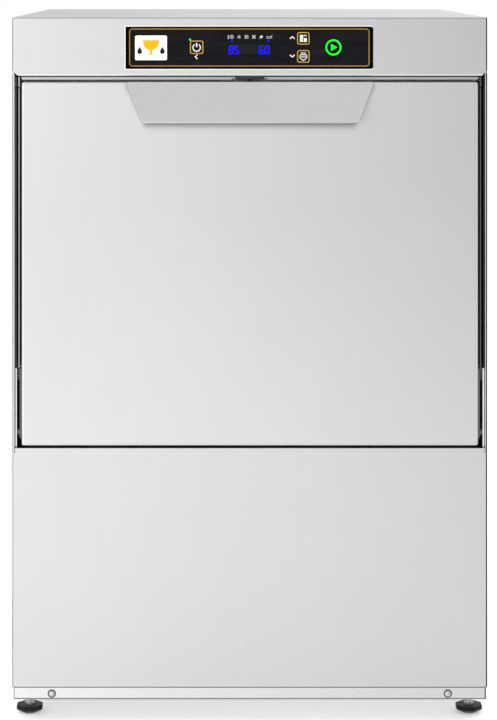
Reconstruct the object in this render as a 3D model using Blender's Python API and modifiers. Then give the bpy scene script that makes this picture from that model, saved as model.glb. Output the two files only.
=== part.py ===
"""Commercial under-counter glass washer with a drop-down door.

The machine stands on the floor (z = 0), its front looks along -Y and +Z is up.
Lengths in this file are millimetres; MM turns them into the scene's metres.
Every object in the "glass_washer" collection is one separate physical piece.
"""

import math

import bmesh
import bpy
from mathutils import Matrix, Vector

MM = 0.001

# ---- driving dimensions -------------------------------------------------
WIDTH, DEPTH, HEIGHT = 470.0, 530.0, 700.0
SHEET = 1.5                      # stainless sheet
GAP = 0.3                        # clearance between neighbouring pieces
PAN_BOTTOM, PAN_TOP = 25.0, 36.5
SERVICE_BOTTOM, SERVICE_TOP = 37.0, 273.5
DOOR_BOTTOM, DOOR_TOP = 275.5, 636.0
FASCIA_BOTTOM = 642.0
SKIRT_BOTTOM = 647.0             # lower edge of the top cover's side and rear skirts
DOOR_HALF = 226.0
DOOR_THICK = 34.0
HINGE_RADIUS = 12.0              # hinge axis behind the door's front and above its bottom
OVERHANG = 25.0                  # handle in front, water fittings behind

HALF_W = WIDTH / 2
FRONT, REAR = -DEPTH / 2, DEPTH / 2
HINGE_Y, HINGE_Z = FRONT + HINGE_RADIUS, DOOR_BOTTOM + HINGE_RADIUS

FRAME_Y = -225.0                 # front face of the frame round the wash chamber
OPEN_HALF, OPEN_LOW, OPEN_HIGH = 202.0, 302.0, 618.0
TANK_HALF, TANK_REAR, TANK_LOW, TANK_HIGH = 205.0, 195.0, 262.0, 628.0
WELL_HALF, WELL_FRONT, WELL_REAR, WELL_LOW = 185.0, -200.0, 170.0, 190.0

SPINDLE_Y = -14.0                # both pairs of arms turn about x = 0, y = SPINDLE_Y
ARM_RADIUS = 172.0
FILTER_X, FILTER_Y = 152.0, 128.0

PUMP_X, PUMP_Y, PUMP_Z = -55.0, -20.0, 100.0
BOILER_X, BOILER_Z, BOILER_R = 150.0, 102.0, 48.0

LEVER_LENGTH = 60.0
LEVER_REACH = LEVER_LENGTH * math.sqrt(0.5)   # the lever starts 45 degrees down, ends 45 up
SPRING_X = 219.0
STRUT_TOP_Z = 480.0              # fixed upper end of the door's spring struts

FOOT_X, FOOT_Y = 221.0, 220.0

PANEL_HALF, PANEL_LOW, PANEL_HIGH = 122.0, 649.3, 690.3
BUTTON_TRAVEL = 0.8

PIECES = "glass_washer"
CUTTERS = "cutters"

MATERIALS = {
    "steel": ((0.66, 0.67, 0.68), 1.0, 0.32),
    "polished_steel": ((0.75, 0.76, 0.77), 1.0, 0.16),
    "black_plastic": ((0.02, 0.02, 0.022), 0.0, 0.45),
    "gloss_black": ((0.012, 0.012, 0.015), 0.0, 0.12),
    "grey_plastic": ((0.42, 0.44, 0.46), 0.0, 0.5),
    "white_plastic": ((0.75, 0.75, 0.73), 0.0, 0.45),
    "blue_plastic": ((0.05, 0.16, 0.42), 0.0, 0.4),
    "rubber": ((0.03, 0.03, 0.03), 0.0, 0.75),
    "brass": ((0.72, 0.55, 0.27), 1.0, 0.3),
    "motor_paint": ((0.10, 0.11, 0.13), 0.2, 0.45),
    "board_green": ((0.04, 0.22, 0.10), 0.0, 0.4),
    "window": ((0.01, 0.012, 0.03), 0.0, 0.05),
}


# ---- scene helpers --------------------------------------------------------
def clear_scene():
    for obj in list(bpy.data.objects):
        bpy.data.objects.remove(obj, do_unlink=True)
    for name in (PIECES, CUTTERS):
        bpy.context.scene.collection.children.link(bpy.data.collections.new(name))


def material(name):
    if name in bpy.data.materials:
        return bpy.data.materials[name]
    colour, metallic, rough = MATERIALS[name]
    mat = bpy.data.materials.new(name)
    mat.use_nodes = True
    shader = mat.node_tree.nodes["Principled BSDF"]
    shader.inputs["Base Color"].default_value = (*colour, 1.0)
    shader.inputs["Metallic"].default_value = metallic
    shader.inputs["Roughness"].default_value = rough
    return mat


def new_object(name, bm, collection=CUTTERS):
    bmesh.ops.recalc_face_normals(bm, faces=bm.faces)
    bmesh.ops.scale(bm, vec=(MM, MM, MM), verts=bm.verts)
    mesh = bpy.data.meshes.new(name)
    bm.to_mesh(mesh)
    bm.free()
    obj = bpy.data.objects.new(name, mesh)
    bpy.data.collections[collection].objects.link(obj)
    return obj


def piece(obj, name, mat, bevel=0.0, smooth=False):
    """Makes obj a finished piece: named, one material, optional small edge bevel."""
    bpy.data.collections[CUTTERS].objects.unlink(obj)
    bpy.data.collections[PIECES].objects.link(obj)
    obj.name = name
    obj.data.name = name
    obj.data.materials.clear()
    obj.data.materials.append(material(mat))
    if bevel:
        mod = obj.modifiers.new("edge", "BEVEL")
        mod.width = bevel * MM
        mod.segments = 2
        mod.limit_method = "ANGLE"
        mod.angle_limit = math.radians(50)
    if smooth:
        for face in obj.data.polygons:
            face.use_smooth = True
    return obj


def combine(obj, other, operation):
    mod = obj.modifiers.new(operation.lower(), "BOOLEAN")
    mod.operation = operation
    mod.solver = "EXACT"
    mod.object = other
    other.hide_render = True
    other.display_type = "WIRE"
    return obj


def cut(obj, *cutters):
    for cutter in cutters:
        combine(obj, cutter, "DIFFERENCE")
    return obj


def join(obj, *others):
    for other in others:
        combine(obj, other, "UNION")
    return obj


def set_origin(obj, point):
    """Moves the object's origin to a point (mm) and leaves its shape where it is."""
    offset = Vector(point) * MM
    obj.data.transform(Matrix.Translation(-offset))
    obj.location = offset
    return obj


# ---- solid shapes -----------------------------------------------------------
def box(lo, hi, name="solid"):
    bm = bmesh.new()
    bmesh.ops.create_cube(bm, size=1.0)
    size = [h - l for l, h in zip(lo, hi)]
    centre = [(h + l) / 2 for l, h in zip(lo, hi)]
    bmesh.ops.scale(bm, vec=size, verts=bm.verts)
    bmesh.ops.translate(bm, vec=centre, verts=bm.verts)
    return new_object(name, bm)


def boxes(pairs, name="solids"):
    """Several separate boxes in one mesh."""
    bm = bmesh.new()
    for lo, hi in pairs:
        size = [h - l for l, h in zip(lo, hi)]
        centre = [(h + l) / 2 for l, h in zip(lo, hi)]
        matrix = Matrix.Translation(centre) @ Matrix.Diagonal((*size, 1.0))
        bmesh.ops.create_cube(bm, size=1.0, matrix=matrix)
    return new_object(name, bm)


AXES = {
    "X": Matrix(((0, 0, 1, 0), (1, 0, 0, 0), (0, 1, 0, 0), (0, 0, 0, 1))),
    "Y": Matrix(((0, 1, 0, 0), (0, 0, 1, 0), (1, 0, 0, 0), (0, 0, 0, 1))),
    "Z": Matrix.Identity(4),
}


def lathe(profile, centre, axis="Z", sides=20, name="round", phase=0.0):
    """Turns a closed profile of (radius, height) points about an axis through centre."""
    bm = bmesh.new()
    rings = []
    for radius, height in profile:
        if radius < 1e-6:
            rings.append([bm.verts.new((0, 0, height))])
            continue
        angles = (phase + 2 * math.pi * i / sides for i in range(sides))
        rings.append([
            bm.verts.new((radius * math.cos(a), radius * math.sin(a), height)) for a in angles
        ])
    hollow = all(len(ring) > 1 for ring in rings)
    pairs = list(zip(rings, rings[1:]))
    if hollow:
        pairs.append((rings[-1], rings[0]))
    for low, high in pairs:
        for i in range(sides):
            j = (i + 1) % sides
            if len(low) == 1 and len(high) == 1:
                break
            if len(low) == 1:
                bm.faces.new((low[0], high[i], high[j]))
            elif len(high) == 1:
                bm.faces.new((low[i], low[j], high[0]))
            else:
                bm.faces.new((low[i], low[j], high[j], high[i]))
    bmesh.ops.transform(bm, matrix=Matrix.Translation(centre) @ AXES[axis], verts=bm.verts)
    return new_object(name, bm)


def rod(centre, axis, radius, start, end, sides=20, name="rod"):
    """A solid cylinder; start and end are offsets from centre along the axis."""
    return lathe([(0, start), (radius, start), (radius, end), (0, end)],
                 centre, axis, sides, name, 0.17)


def prism(points, axis, start, end, name="prism"):
    """Pushes a flat outline along an axis. Points are the two other coordinates in order."""
    bm = bmesh.new()
    place = {
        "X": lambda a, b, c: (c, a, b),
        "Y": lambda a, b, c: (a, c, b),
        "Z": lambda a, b, c: (a, b, c),
    }[axis]
    low = [bm.verts.new(place(a, b, start)) for a, b in points]
    high = [bm.verts.new(place(a, b, end)) for a, b in points]
    bm.faces.new(low)
    bm.faces.new(high)
    for i in range(len(points)):
        j = (i + 1) % len(points)
        bm.faces.new((low[i], low[j], high[j], high[i]))
    return new_object(name, bm)


def rounded(points, radius, steps=4):
    """Replaces each corner of an outline with an arc."""
    out = []
    count = len(points)
    for i, point in enumerate(points):
        here = Vector(point)
        before = (Vector(points[i - 1]) - here).normalized()
        after = (Vector(points[(i + 1) % count]) - here).normalized()
        half = before.angle(after) / 2
        reach = radius / math.tan(half)
        middle = here + (before + after).normalized() * (radius / math.sin(half))
        start, end = here + before * reach, here + after * reach
        first = math.atan2(start.y - middle.y, start.x - middle.x)
        last = math.atan2(end.y - middle.y, end.x - middle.x)
        turn = (last - first + math.pi) % (2 * math.pi) - math.pi
        for k in range(steps + 1):
            angle = first + turn * k / steps
            out.append((middle.x + radius * math.cos(angle),
                        middle.y + radius * math.sin(angle)))
    return out


def bend_path(points, radius, steps=3):
    """Puts an arc of the given radius at every inner corner of a pipe's centre line."""
    path = [Vector(points[0])]
    for before, here, after in zip(points, points[1:], points[2:]):
        here = Vector(here)
        back = (Vector(before) - here).normalized()
        ahead = (Vector(after) - here).normalized()
        half = back.angle(ahead) / 2
        reach = radius / math.tan(half)
        middle = here + (back + ahead).normalized() * (radius / math.sin(half))
        start, end = here + back * reach, here + ahead * reach
        u, v = start - middle, end - middle
        total = u.angle(v)
        for k in range(steps + 1):
            a = total * k / steps
            path.append(middle + (u * math.sin(total - a) + v * math.sin(a)) / math.sin(total))
    path.append(Vector(points[-1]))
    return path


def sweep_rings(bm, path, radius, sides):
    """Rings of vertices carried along a path without twisting."""
    tangent = (path[1] - path[0]).normalized()
    side = tangent.orthogonal().normalized()
    rings = []
    for i, point in enumerate(path):
        ahead = (path[min(i + 1, len(path) - 1)] - point).normalized()
        back = (point - path[max(i - 1, 0)]).normalized()
        new = ahead + back
        new = new.normalized() if new.length > 1e-9 else tangent
        side = (tangent.rotation_difference(new) @ side)
        side = (side - new * side.dot(new)).normalized()
        tangent = new
        up = tangent.cross(side)
        rings.append([
            bm.verts.new(point + (side * math.cos(a) + up * math.sin(a)) * radius)
            for a in (2 * math.pi * k / sides for k in range(sides))
        ])
    return rings


def skin(bm, rings):
    for low, high in zip(rings, rings[1:]):
        for i in range(len(low)):
            j = (i + 1) % len(low)
            bm.faces.new((low[i], low[j], high[j], high[i]))


def cable(points, radius, bend, sides=10, name="cable"):
    """A solid round bar along a bent centre line."""
    bm = bmesh.new()
    rings = sweep_rings(bm, bend_path(points, bend), radius, sides)
    skin(bm, rings)
    bm.faces.new(rings[0])
    bm.faces.new(rings[-1])
    return new_object(name, bm)


def hose(points, outer, inner, bend, sides=14, name="hose"):
    """A hollow tube along a bent centre line, open at both ends."""
    bm = bmesh.new()
    path = bend_path(points, bend)
    outside = sweep_rings(bm, path, outer, sides)
    inside = sweep_rings(bm, path, inner, sides)
    skin(bm, outside)
    skin(bm, inside)
    for a, b in ((outside[0], inside[0]), (outside[-1], inside[-1])):
        for i in range(sides):
            j = (i + 1) % sides
            bm.faces.new((a[i], a[j], b[j], b[i]))
    return new_object(name, bm)


def open_tray(lo, hi, wall, open_side):
    """A box of sheet with one side missing. open_side is '-Y', '+Y', '-Z' or '+Z'."""
    outer = box(lo, hi, "tray")
    inner_lo = [v + wall for v in lo]
    inner_hi = [v - wall for v in hi]
    index = "XYZ".index(open_side[1])
    if open_side[0] == "-":
        inner_lo[index] = lo[index] - 5
    else:
        inner_hi[index] = hi[index] + 5
    return cut(outer, box(inner_lo, inner_hi))


def bend(side, radius, steps=4):
    """Points round a front vertical fold of the cabinet, in plan, in order of rising x."""
    turns = [math.pi / 2 * k / steps for k in range(steps + 1)]
    points = [(HALF_W - radius + radius * math.sin(a), FRONT + radius - radius * math.cos(a))
              for a in turns]
    return points if side > 0 else [(-x, y) for x, y in reversed(points)]


# ---- cabinet ----------------------------------------------------------------
def base_frame():
    obj = open_tray((-233.7, FRONT + 0.5, PAN_BOTTOM), (233.7, REAR - 0.5, PAN_TOP), SHEET, "-Z")
    for sx in (-1, 1):
        for sy in (-1, 1):
            join(obj, rod((sx * FOOT_X, sy * FOOT_Y, 0), "Z", 8.0, PAN_TOP - 1.0, PAN_TOP + 12))
    for sx in (-1, 1):
        for sy in (-1, 1):
            cut(obj, rod((sx * FOOT_X, sy * FOOT_Y, 0), "Z", 4.3, PAN_BOTTOM - 5, PAN_TOP + 20))
        cut(obj, rod((sx * 196.0, FRONT, 30.6), "Y", 2.3, -5, 8, 16))
    return piece(obj, "base_frame", "steel")


def side_panel(side, name):
    def x_range(a, b):
        return (min(side * a, side * b), max(side * a, side * b))

    x0, x1 = x_range(HALF_W - SHEET, HALF_W)
    obj = box((x0, FRONT + 2, PAN_TOP + GAP), (x1, REAR - 1.8, SKIRT_BOTTOM - GAP - 0.1))
    plan = [(side * (HALF_W - 2.0), FRONT + 3.0), (side * (HALF_W - 2.0), FRONT + 0.5),
            (side * (HALF_W - 1.5), FRONT), *bend(side, 1.3)[::side], (side * HALF_W, FRONT + 3.0)]
    nose = prism(plan, "Z", 268.5, 644.6)
    f0, f1 = x_range(HALF_W - 15, HALF_W - 1)
    flange = box((f0, REAR - 3.3, PAN_TOP + GAP), (f1, REAR - 1.8, SKIRT_BOTTOM - GAP - 0.1))
    lower = box((f0, FRONT + 20, PAN_TOP + GAP), (f1, REAR - 3, PAN_TOP + GAP + SHEET))
    foot_clear = [rod((side * FOOT_X, sy * FOOT_Y, 0), "Z", 9.0, 30, 60) for sy in (-1, 1)]
    join(obj, nose, flange, lower)
    cut(obj, *foot_clear)
    slots = [((min(side * 230, side * 240), 150 + 14 * i, 70),
              (max(side * 230, side * 240), 154 + 14 * i, 130)) for i in range(6)]
    cut(obj, boxes(slots))
    return piece(obj, name, "steel")


def rear_panel():
    obj = box((-HALF_W, REAR - SHEET, PAN_TOP + GAP), (HALF_W, REAR, SKIRT_BOTTOM - GAP - 0.1))
    slots = [((-60, REAR - 6, 380 + 16 * i), (60, REAR + 4, 386 + 16 * i)) for i in range(8)]
    cut(obj, boxes(slots))
    cut(obj, rod((BOILER_X, REAR, 75), "Y", 13.8, -6, 6))
    cut(obj, rod((-150, REAR, 70), "Y", 13.5, -6, 6))
    cut(obj, rod((-60, REAR, 56), "Y", 8.4, -6, 6, 20))
    return piece(obj, "rear_panel", "steel")


def top_cover():
    obj = box((-HALF_W, FRONT, FASCIA_BOTTOM), (HALF_W, REAR, HEIGHT))
    edge = obj.modifiers.new("fold", "BEVEL")
    edge.width, edge.segments, edge.limit_method = 1.6 * MM, 3, "ANGLE"
    cut(obj, box((-HALF_W + SHEET, FRONT + SHEET, FASCIA_BOTTOM - 5),
                 (HALF_W - SHEET, REAR - SHEET, HEIGHT - SHEET)))
    cut(obj, box((-HALF_W - 5, FRONT + SHEET, FASCIA_BOTTOM - 5),
                 (HALF_W + 5, REAR + 5, SKIRT_BOTTOM)))
    lip = box((-228, FRONT + 0.8, FASCIA_BOTTOM), (228, FRONT + 25, FASCIA_BOTTOM + SHEET))
    join(obj, lip)
    for side in (-1, 1):
        corner = [(side * (HALF_W + 2), SKIRT_BOTTOM + 2.0), (side * (HALF_W + 2), 630),
                  (side * (HALF_W - 7), 630), (side * (HALF_W - 7), FASCIA_BOTTOM - 0.001),
                  (side * (HALF_W - 5.5), FASCIA_BOTTOM)]
        cut(obj, prism(corner, "Y", FRONT - 3, FRONT + SHEET + 1.5))
    cut(obj, box((-118, FRONT - 3, 652), (118, FRONT + 6, 688)))
    cut(obj, box((-14.4, FRONT + SHEET + 1.2, 636), (14.4, FRONT + 22.5, 650)))
    return piece(obj, "top_cover", "steel")


def service_panel():
    plan = [(-HALF_W, FRONT + SHEET), *bend(-1, 1.3), *bend(1, 1.3), (HALF_W, FRONT + SHEET)]
    obj = prism(plan, "Z", SERVICE_BOTTOM, SERVICE_TOP)
    hem = box((-228, FRONT + 1, SERVICE_TOP - 9), (228, FRONT + 3, SERVICE_TOP))
    ends = boxes([((s * 232 - 0.8, FRONT + 1, SERVICE_BOTTOM + 0.3),
                   (s * 232 + 0.8, FRONT + 15, SERVICE_TOP - 12)) for s in (-1, 1)])
    foot = box((-231.5, FRONT + 1, SERVICE_BOTTOM + 0.3),
               (231.5, FRONT + 18, SERVICE_BOTTOM + 0.3 + SHEET))
    join(obj, hem, foot, ends)
    for side in (-1, 1):
        notch = [(side * 232.4, 280), (side * 232.4, 268.8), (side * 233.6, 267.6),
                 (side * 238, 267.2), (side * 238, 280)]
        cut(obj, prism(notch, "Y", FRONT - 3, FRONT + 5))
    return piece(obj, "service_panel", "steel")


def front_frame():
    low, mid, top = 255.0, 352.6, 641.0
    obj = box((-225.3, FRAME_Y, low), (225.3, FRAME_Y + SHEET, top))
    join(obj, box((-232.5, FRAME_Y, mid), (232.5, FRAME_Y + SHEET, top)))
    for side in (-1, 1):
        for inner, outer, front in ((227.9, 229.5, -261.0), (230.9, 232.5, -263.0)):
            x0, x1 = sorted((side * inner, side * outer))
            join(obj, box((x0, front, mid), (x1, FRAME_Y + 1, top)))
    join(obj, box((-227.0, -258.0, 639.2), (227.0, FRAME_Y + 1, 640.7)))
    cut(obj, box((-OPEN_HALF, FRAME_Y - 5, OPEN_LOW), (OPEN_HALF, FRAME_Y + 5, OPEN_HIGH)))
    cut(obj, box((-14.4, -270, 637), (14.4, -240, 642)))
    slits = [((s * 230.2 - 2.9, -270, 629.6), (s * 230.2 + 2.9, -252, 630.8)) for s in (-1, 1)]
    cut(obj, boxes(slits))
    cut(obj, *[rod((x, -250, 640), "Z", 1.6, -3, 3, 12) for x in (-206, -163, 163, 206)])
    return piece(obj, "front_frame", "steel")


def door_seal():
    y0, y1 = -230.6, FRAME_Y - GAP
    outer = rounded([(-210.5, 292.5), (210.5, 292.5), (210.5, 627.5), (-210.5, 627.5)], 9)
    inner = rounded([(-202.6, 301), (202.6, 301), (202.6, 619), (-202.6, 619)], 4)
    obj = prism(outer, "Y", y0, y1)
    cut(obj, prism(inner, "Y", y0 - 5, y1 + 5))
    return piece(obj, "door_seal", "rubber")


def screw(x, name):
    obj = lathe([(0, -2.0), (1.8, -1.8), (2.8, -1.0), (3.2, -0.1), (3.2, 0.2), (2.0, 0.2),
                 (2.0, 7.0), (0, 7.0)], (x, FRONT, 30.6), "Y", 24)
    cut(obj, box((x - 1.5, FRONT - 3, 30.25), (x + 1.5, FRONT - 1.1, 30.95)),
        box((x - 0.35, FRONT - 3, 29.1), (x + 0.35, FRONT - 1.1, 32.1)))
    return piece(obj, name, "polished_steel")


def foot(sx, sy, name):
    profile = [(0, 0), (7.4, 0), (13.5, 3.4), (13.9, 4.0), (13.9, 7.4), (13.2, 8.0),
               (5.4, 8.0), (5.4, 9.4), (4.0, 9.4), (4.0, 58.0), (0, 58.0)]
    obj = lathe(profile, (sx * FOOT_X, sy * FOOT_Y, 0), "Z", 8)
    obj.data.transform(Matrix.Translation((sx * FOOT_X * MM, sy * FOOT_Y * MM, 0))
                       @ Matrix.Rotation(math.pi / 8, 4, "Z")
                       @ Matrix.Translation((-sx * FOOT_X * MM, -sy * FOOT_Y * MM, 0)))
    piece(obj, name, "black_plastic")
    return set_origin(obj, (sx * FOOT_X, sy * FOOT_Y, 0))


# ---- controls ---------------------------------------------------------------
BUTTONS = {
    "power_button": (-52.4, 670.5, 6.9),
    "program_button": (53.2, 679.2, 6.5),
    "service_button": (53.2, 661.4, 6.5),
}
START = (82.8, 670.3, 8.2)


def control_panel():
    face = rounded([(-PANEL_HALF, PANEL_LOW), (PANEL_HALF, PANEL_LOW),
                    (PANEL_HALF, PANEL_HIGH), (-PANEL_HALF, PANEL_HIGH)], 1.2, 2)
    obj = prism(face, "Y", FRONT - 1.7, FRONT - GAP)
    join(obj, box((-117.6, FRONT - 1.0, 652.4), (117.6, FRONT + 7, 687.6)))
    cut(obj, box((-21.5, FRONT - 4, 662.5), (21.5, FRONT, 674.0)))
    for x, z, half in BUTTONS.values():
        h = half + GAP
        outline = rounded([(x - h, z - h), (x + h, z - h), (x + h, z + h), (x - h, z + h)], 1.8, 3)
        cut(obj, prism(outline, "Y", FRONT - 5, FRONT + 12))
    cut(obj, rod((START[0], FRONT, START[1]), "Y", START[2] + GAP, -5, 12))
    return piece(obj, "control_panel", "gloss_black")


def display_window():
    obj = box((-21.2, FRONT - 1.7, 662.8), (21.2, FRONT - 0.2, 673.7))
    return piece(obj, "display_window", "window")


def square_button(name):
    x, z, half = BUTTONS[name]
    outline = rounded([(x - half, z - half), (x + half, z - half),
                       (x + half, z + half), (x - half, z + half)], 1.5, 3)
    obj = piece(prism(outline, "Y", FRONT - 2.0, FRONT + 7.5), name, "gloss_black")
    return set_origin(obj, (x, FRONT - 2.0, z))


def start_button():
    x, z, radius = START
    obj = lathe([(0, -2.0), (radius - 0.5, -2.0), (radius, -1.5), (radius, 7.5), (0, 7.5)],
                (x, FRONT, z), "Y", 32)
    piece(obj, "start_button", "gloss_black")
    return set_origin(obj, (x, FRONT - 2.0, z))


def control_board():
    obj = box((-112, FRONT + 8.6, 653), (112, FRONT + 10.2, 687))
    parts = [((-100, 657, 16), (-78, 673)), ((-70, 657, 16), (-48, 673)),
             ((-40, 657, 16), (-18, 673)), ((0, 668, 22), (40, 684)),
             ((60, 656, 10), (104, 664)), ((60, 670, 12), (84, 683))]
    for (x0, z0, deep), (x1, z1) in parts:
        join(obj, box((x0, FRONT + 9.5, z0), (x1, FRONT + 10 + deep, z1)))
    return piece(obj, "control_board", "board_green")


# ---- door catch -------------------------------------------------------------
def catch_housing():
    obj = box((-14, HINGE_Y - 9, 638.2), (14, HINGE_Y + 9, 652.0))
    cut(obj, rod((0, HINGE_Y, 0), "Z", 3.9, 630, 651.0, 24))
    return piece(obj, "catch_housing", "black_plastic", 0.6)


def catch_plunger():
    obj = lathe([(0, 637.0), (1.8, 637.3), (3.0, 638.2), (3.5, 639.6), (3.5, 647.6), (0, 647.6)],
                (0, HINGE_Y, 0), "Z", 24)
    piece(obj, "catch_plunger", "polished_steel")
    return set_origin(obj, (0, HINGE_Y, 637.0))


def catch_strike():
    obj = box((-16, HINGE_Y - 7, 629.0), (16, HINGE_Y + 7, 636.2))
    cut(obj, lathe([(0, 633.4), (2.6, 634.0), (4.2, 636.4), (4.2, 640), (0, 640)],
                   (0, HINGE_Y, 0), "Z", 20))
    return piece(obj, "catch_strike", "polished_steel", 0.5)


# ---- door -------------------------------------------------------------------
def door_outer_panel():
    obj = box((-DOOR_HALF, FRONT, DOOR_BOTTOM), (DOOR_HALF, FRONT + 30, DOOR_TOP))
    edge = obj.modifiers.new("fold", "BEVEL")
    edge.width, edge.segments, edge.limit_method = 2.4 * MM, 3, "ANGLE"
    cut(obj, box((-DOOR_HALF + SHEET, FRONT + SHEET, DOOR_BOTTOM + SHEET),
                 (DOOR_HALF - SHEET, FRONT + 27.4, DOOR_TOP - SHEET)))
    cut(obj, box((-DOOR_HALF + 1.0, FRONT + 26.8, DOOR_BOTTOM + 1.0),
                 (DOOR_HALF - 1.0, FRONT + 40, DOOR_TOP - 1.0)))
    cut(obj, box((-DOOR_HALF - 5, FRONT + 27.2, DOOR_BOTTOM - 5),
                 (DOOR_HALF + 5, FRONT + 40, DOOR_TOP + 5)))
    cut(obj, box((-16.4, HINGE_Y - 7.4, 632), (16.4, HINGE_Y + 7.4, 640)))
    for side in (-1, 1):
        cut(obj, rod((side * DOOR_HALF, HINGE_Y, HINGE_Z), "X", 4.3, -8, 8, 20))
    return piece(obj, "door_outer_panel", "steel")


def door_inner_panel():
    lo, hi = (-222.0, FRONT + 16, 290.5), (222.0, FRONT + DOOR_THICK, 632.0)
    obj = open_tray(lo, hi, SHEET, "-Y")
    rib = rounded([(-150, 350), (150, 350), (150, 570), (-150, 570)], 14, 4)
    cut(obj, prism(rib, "Y", FRONT + DOOR_THICK - 0.5, FRONT + DOOR_THICK + 5))
    cut(obj, box((-17.5, HINGE_Y - 9, 626), (17.5, HINGE_Y + 9, 640)))
    return piece(obj, "door_inner_panel", "steel")


def door_handle():
    out = FRONT - OVERHANG
    profile = [(FRONT - 0.3, DOOR_TOP), (FRONT - 1.5, DOOR_TOP), (out, 598.2), (out, 596.0),
               (out + 1.5, 596.0), (out + 1.5, 597.9), (FRONT - 1.8, 633.0),
               (FRONT - 1.8, 602.0), (FRONT - 0.3, 602.0)]
    obj = prism(profile, "X", -140, 140)
    outline = rounded([(-106.5, 595.9), (106.5, 595.9), (124.2, 638.0), (-124.2, 638.0)], 4, 4)
    keep = prism(outline, "Y", out - 10, FRONT + 5)
    combine(obj, keep, "INTERSECT")
    return piece(obj, "door_handle", "steel")


def hinge_lever(side, name):
    x0, x1 = sorted((side * 226.3, side * 228.3))
    obj = rod((0, HINGE_Y, HINGE_Z), "X", 9.0, x0, x1)
    join(obj, box((x0, HINGE_Y - 7, HINGE_Z), (x1, HINGE_Y + 7, HINGE_Z + 64)))
    reach = LEVER_REACH
    w = 5.5 * math.sqrt(0.5)
    arm = [(HINGE_Y + w, HINGE_Z + w), (HINGE_Y - w, HINGE_Z - w),
           (HINGE_Y + reach - w, HINGE_Z - reach - w), (HINGE_Y + reach + w, HINGE_Z - reach + w)]
    join(obj, prism(arm, "X", x0, x1))
    end = (0, HINGE_Y + reach, HINGE_Z - reach)
    join(obj, rod(end, "X", 6.0, x0, x1, 20))
    p0, p1 = sorted((side * 212.0, side * 227.5))
    join(obj, rod(end, "X", 2.5, p0, p1, 16))
    q0, q1 = sorted((side * 223.0, side * 232.4))
    join(obj, rod((0, HINGE_Y, HINGE_Z), "X", 4.0, q0, q1, 20))
    piece(obj, name, "polished_steel")
    return set_origin(obj, (0, HINGE_Y, HINGE_Z))


def hinge_bracket(side, name):
    x0, x1 = sorted((side * 230.9, side * 232.5))
    obj = box((x0, FRONT + 5.5, 268), (x1, FRAME_Y + 4.0, 352))
    t0, t1 = sorted((side * 208.0, side * 231.5))
    join(obj, box((t0, FRAME_Y + SHEET + GAP, 334), (t1, FRAME_Y + 4.0, 352)))
    cut(obj, rod((side * 231.6, HINGE_Y, HINGE_Z), "X", 4.3, -6, 6, 20))
    cut(obj, box((x0 - 1, HINGE_Y + 12, 262), (x1 + 1, FRAME_Y + 6, 276)))
    return piece(obj, name, "polished_steel")


def door_strut(side, name):
    """A coil spring on a guide rod with an eye at each end, pressed together as the door opens."""
    x, y = side * SPRING_X, HINGE_Y + LEVER_REACH
    low, high = HINGE_Z - LEVER_REACH, STRUT_TOP_Z
    turns, per_turn, coil, wire = 13, 7, 5.6, 1.1
    start, end = low + 13, high - 13
    steps = turns * per_turn
    path = []
    for k in range(steps + 1):
        a = 2 * math.pi * k / per_turn
        path.append(Vector((x + coil * math.cos(a), y + coil * math.sin(a),
                            start + (end - start) * k / steps)))
    bm = bmesh.new()
    rings = sweep_rings(bm, path, wire, 4)
    skin(bm, rings)
    bm.faces.new(rings[0])
    bm.faces.new(rings[-1])
    obj = new_object(name, bm)
    join(obj, rod((x, y, 0), "Z", 2.2, low + 4, high - 4, 10))
    for z in (start, end):
        join(obj, rod((x, y, z), "Z", 6.9, -1.8, 1.8, 18))
    for z in (low, high):
        join(obj, rod((x, y, z), "X", 5.4, -3.0, 3.0, 14))
        cut(obj, rod((x, y, z), "X", 2.9, -8.0, 8.0, 12))
    piece(obj, name, "polished_steel")
    return set_origin(obj, (x, y, high))


# ---- wash chamber -------------------------------------------------------------
def wash_tank():
    front = FRAME_Y + SHEET + GAP
    obj = box((-TANK_HALF, front, TANK_LOW), (TANK_HALF, TANK_REAR, TANK_HIGH))
    join(obj, box((-WELL_HALF, WELL_FRONT, WELL_LOW), (WELL_HALF, WELL_REAR, TANK_LOW + 3)))
    join(obj, rod((-130, PUMP_Y, 0), "Z", 17.0, 172, WELL_LOW + 1))
    join(obj, lathe([(0, 150), (10, 150), (10, 166), (18, 168), (18, WELL_LOW + 1),
                     (0, WELL_LOW + 1)], (-FILTER_X, FILTER_Y, 0), "Z"))
    cut(obj, box((-TANK_HALF + SHEET, front - 5, TANK_LOW + SHEET),
                 (TANK_HALF - SHEET, TANK_REAR - SHEET, TANK_HIGH - SHEET)))
    cut(obj, box((-WELL_HALF + SHEET, WELL_FRONT + SHEET, WELL_LOW + SHEET),
                 (WELL_HALF - SHEET, WELL_REAR - SHEET, TANK_LOW + 8)))
    cut(obj, rod((-130, PUMP_Y, 0), "Z", 14.0, 165, WELL_LOW + 8))
    cut(obj, rod((-FILTER_X, FILTER_Y, 0), "Z", 13.4, 171.5, WELL_LOW + 8))
    cut(obj, rod((-FILTER_X, FILTER_Y, 0), "Z", 7.0, 140, 175))
    cut(obj, rod((0, SPINDLE_Y, 0), "Z", 18.4, WELL_LOW - 5, WELL_LOW + 5))
    cut(obj, rod((0, SPINDLE_Y, 0), "Z", 18.4, TANK_HIGH - 5, TANK_HIGH + 5))
    for y in (-150, -90):
        cut(obj, rod((WELL_HALF, y, 212), "X", 4.6, -6, 6, 16))
    for side in (-1, 1):
        a, b = sorted((side * (TANK_HALF - 0.7), side * 226.0))
        join(obj, rod((0, HINGE_Y + LEVER_REACH, STRUT_TOP_Z), "X", 2.5, a, b, 12))
    return piece(obj, "wash_tank", "steel")


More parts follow.
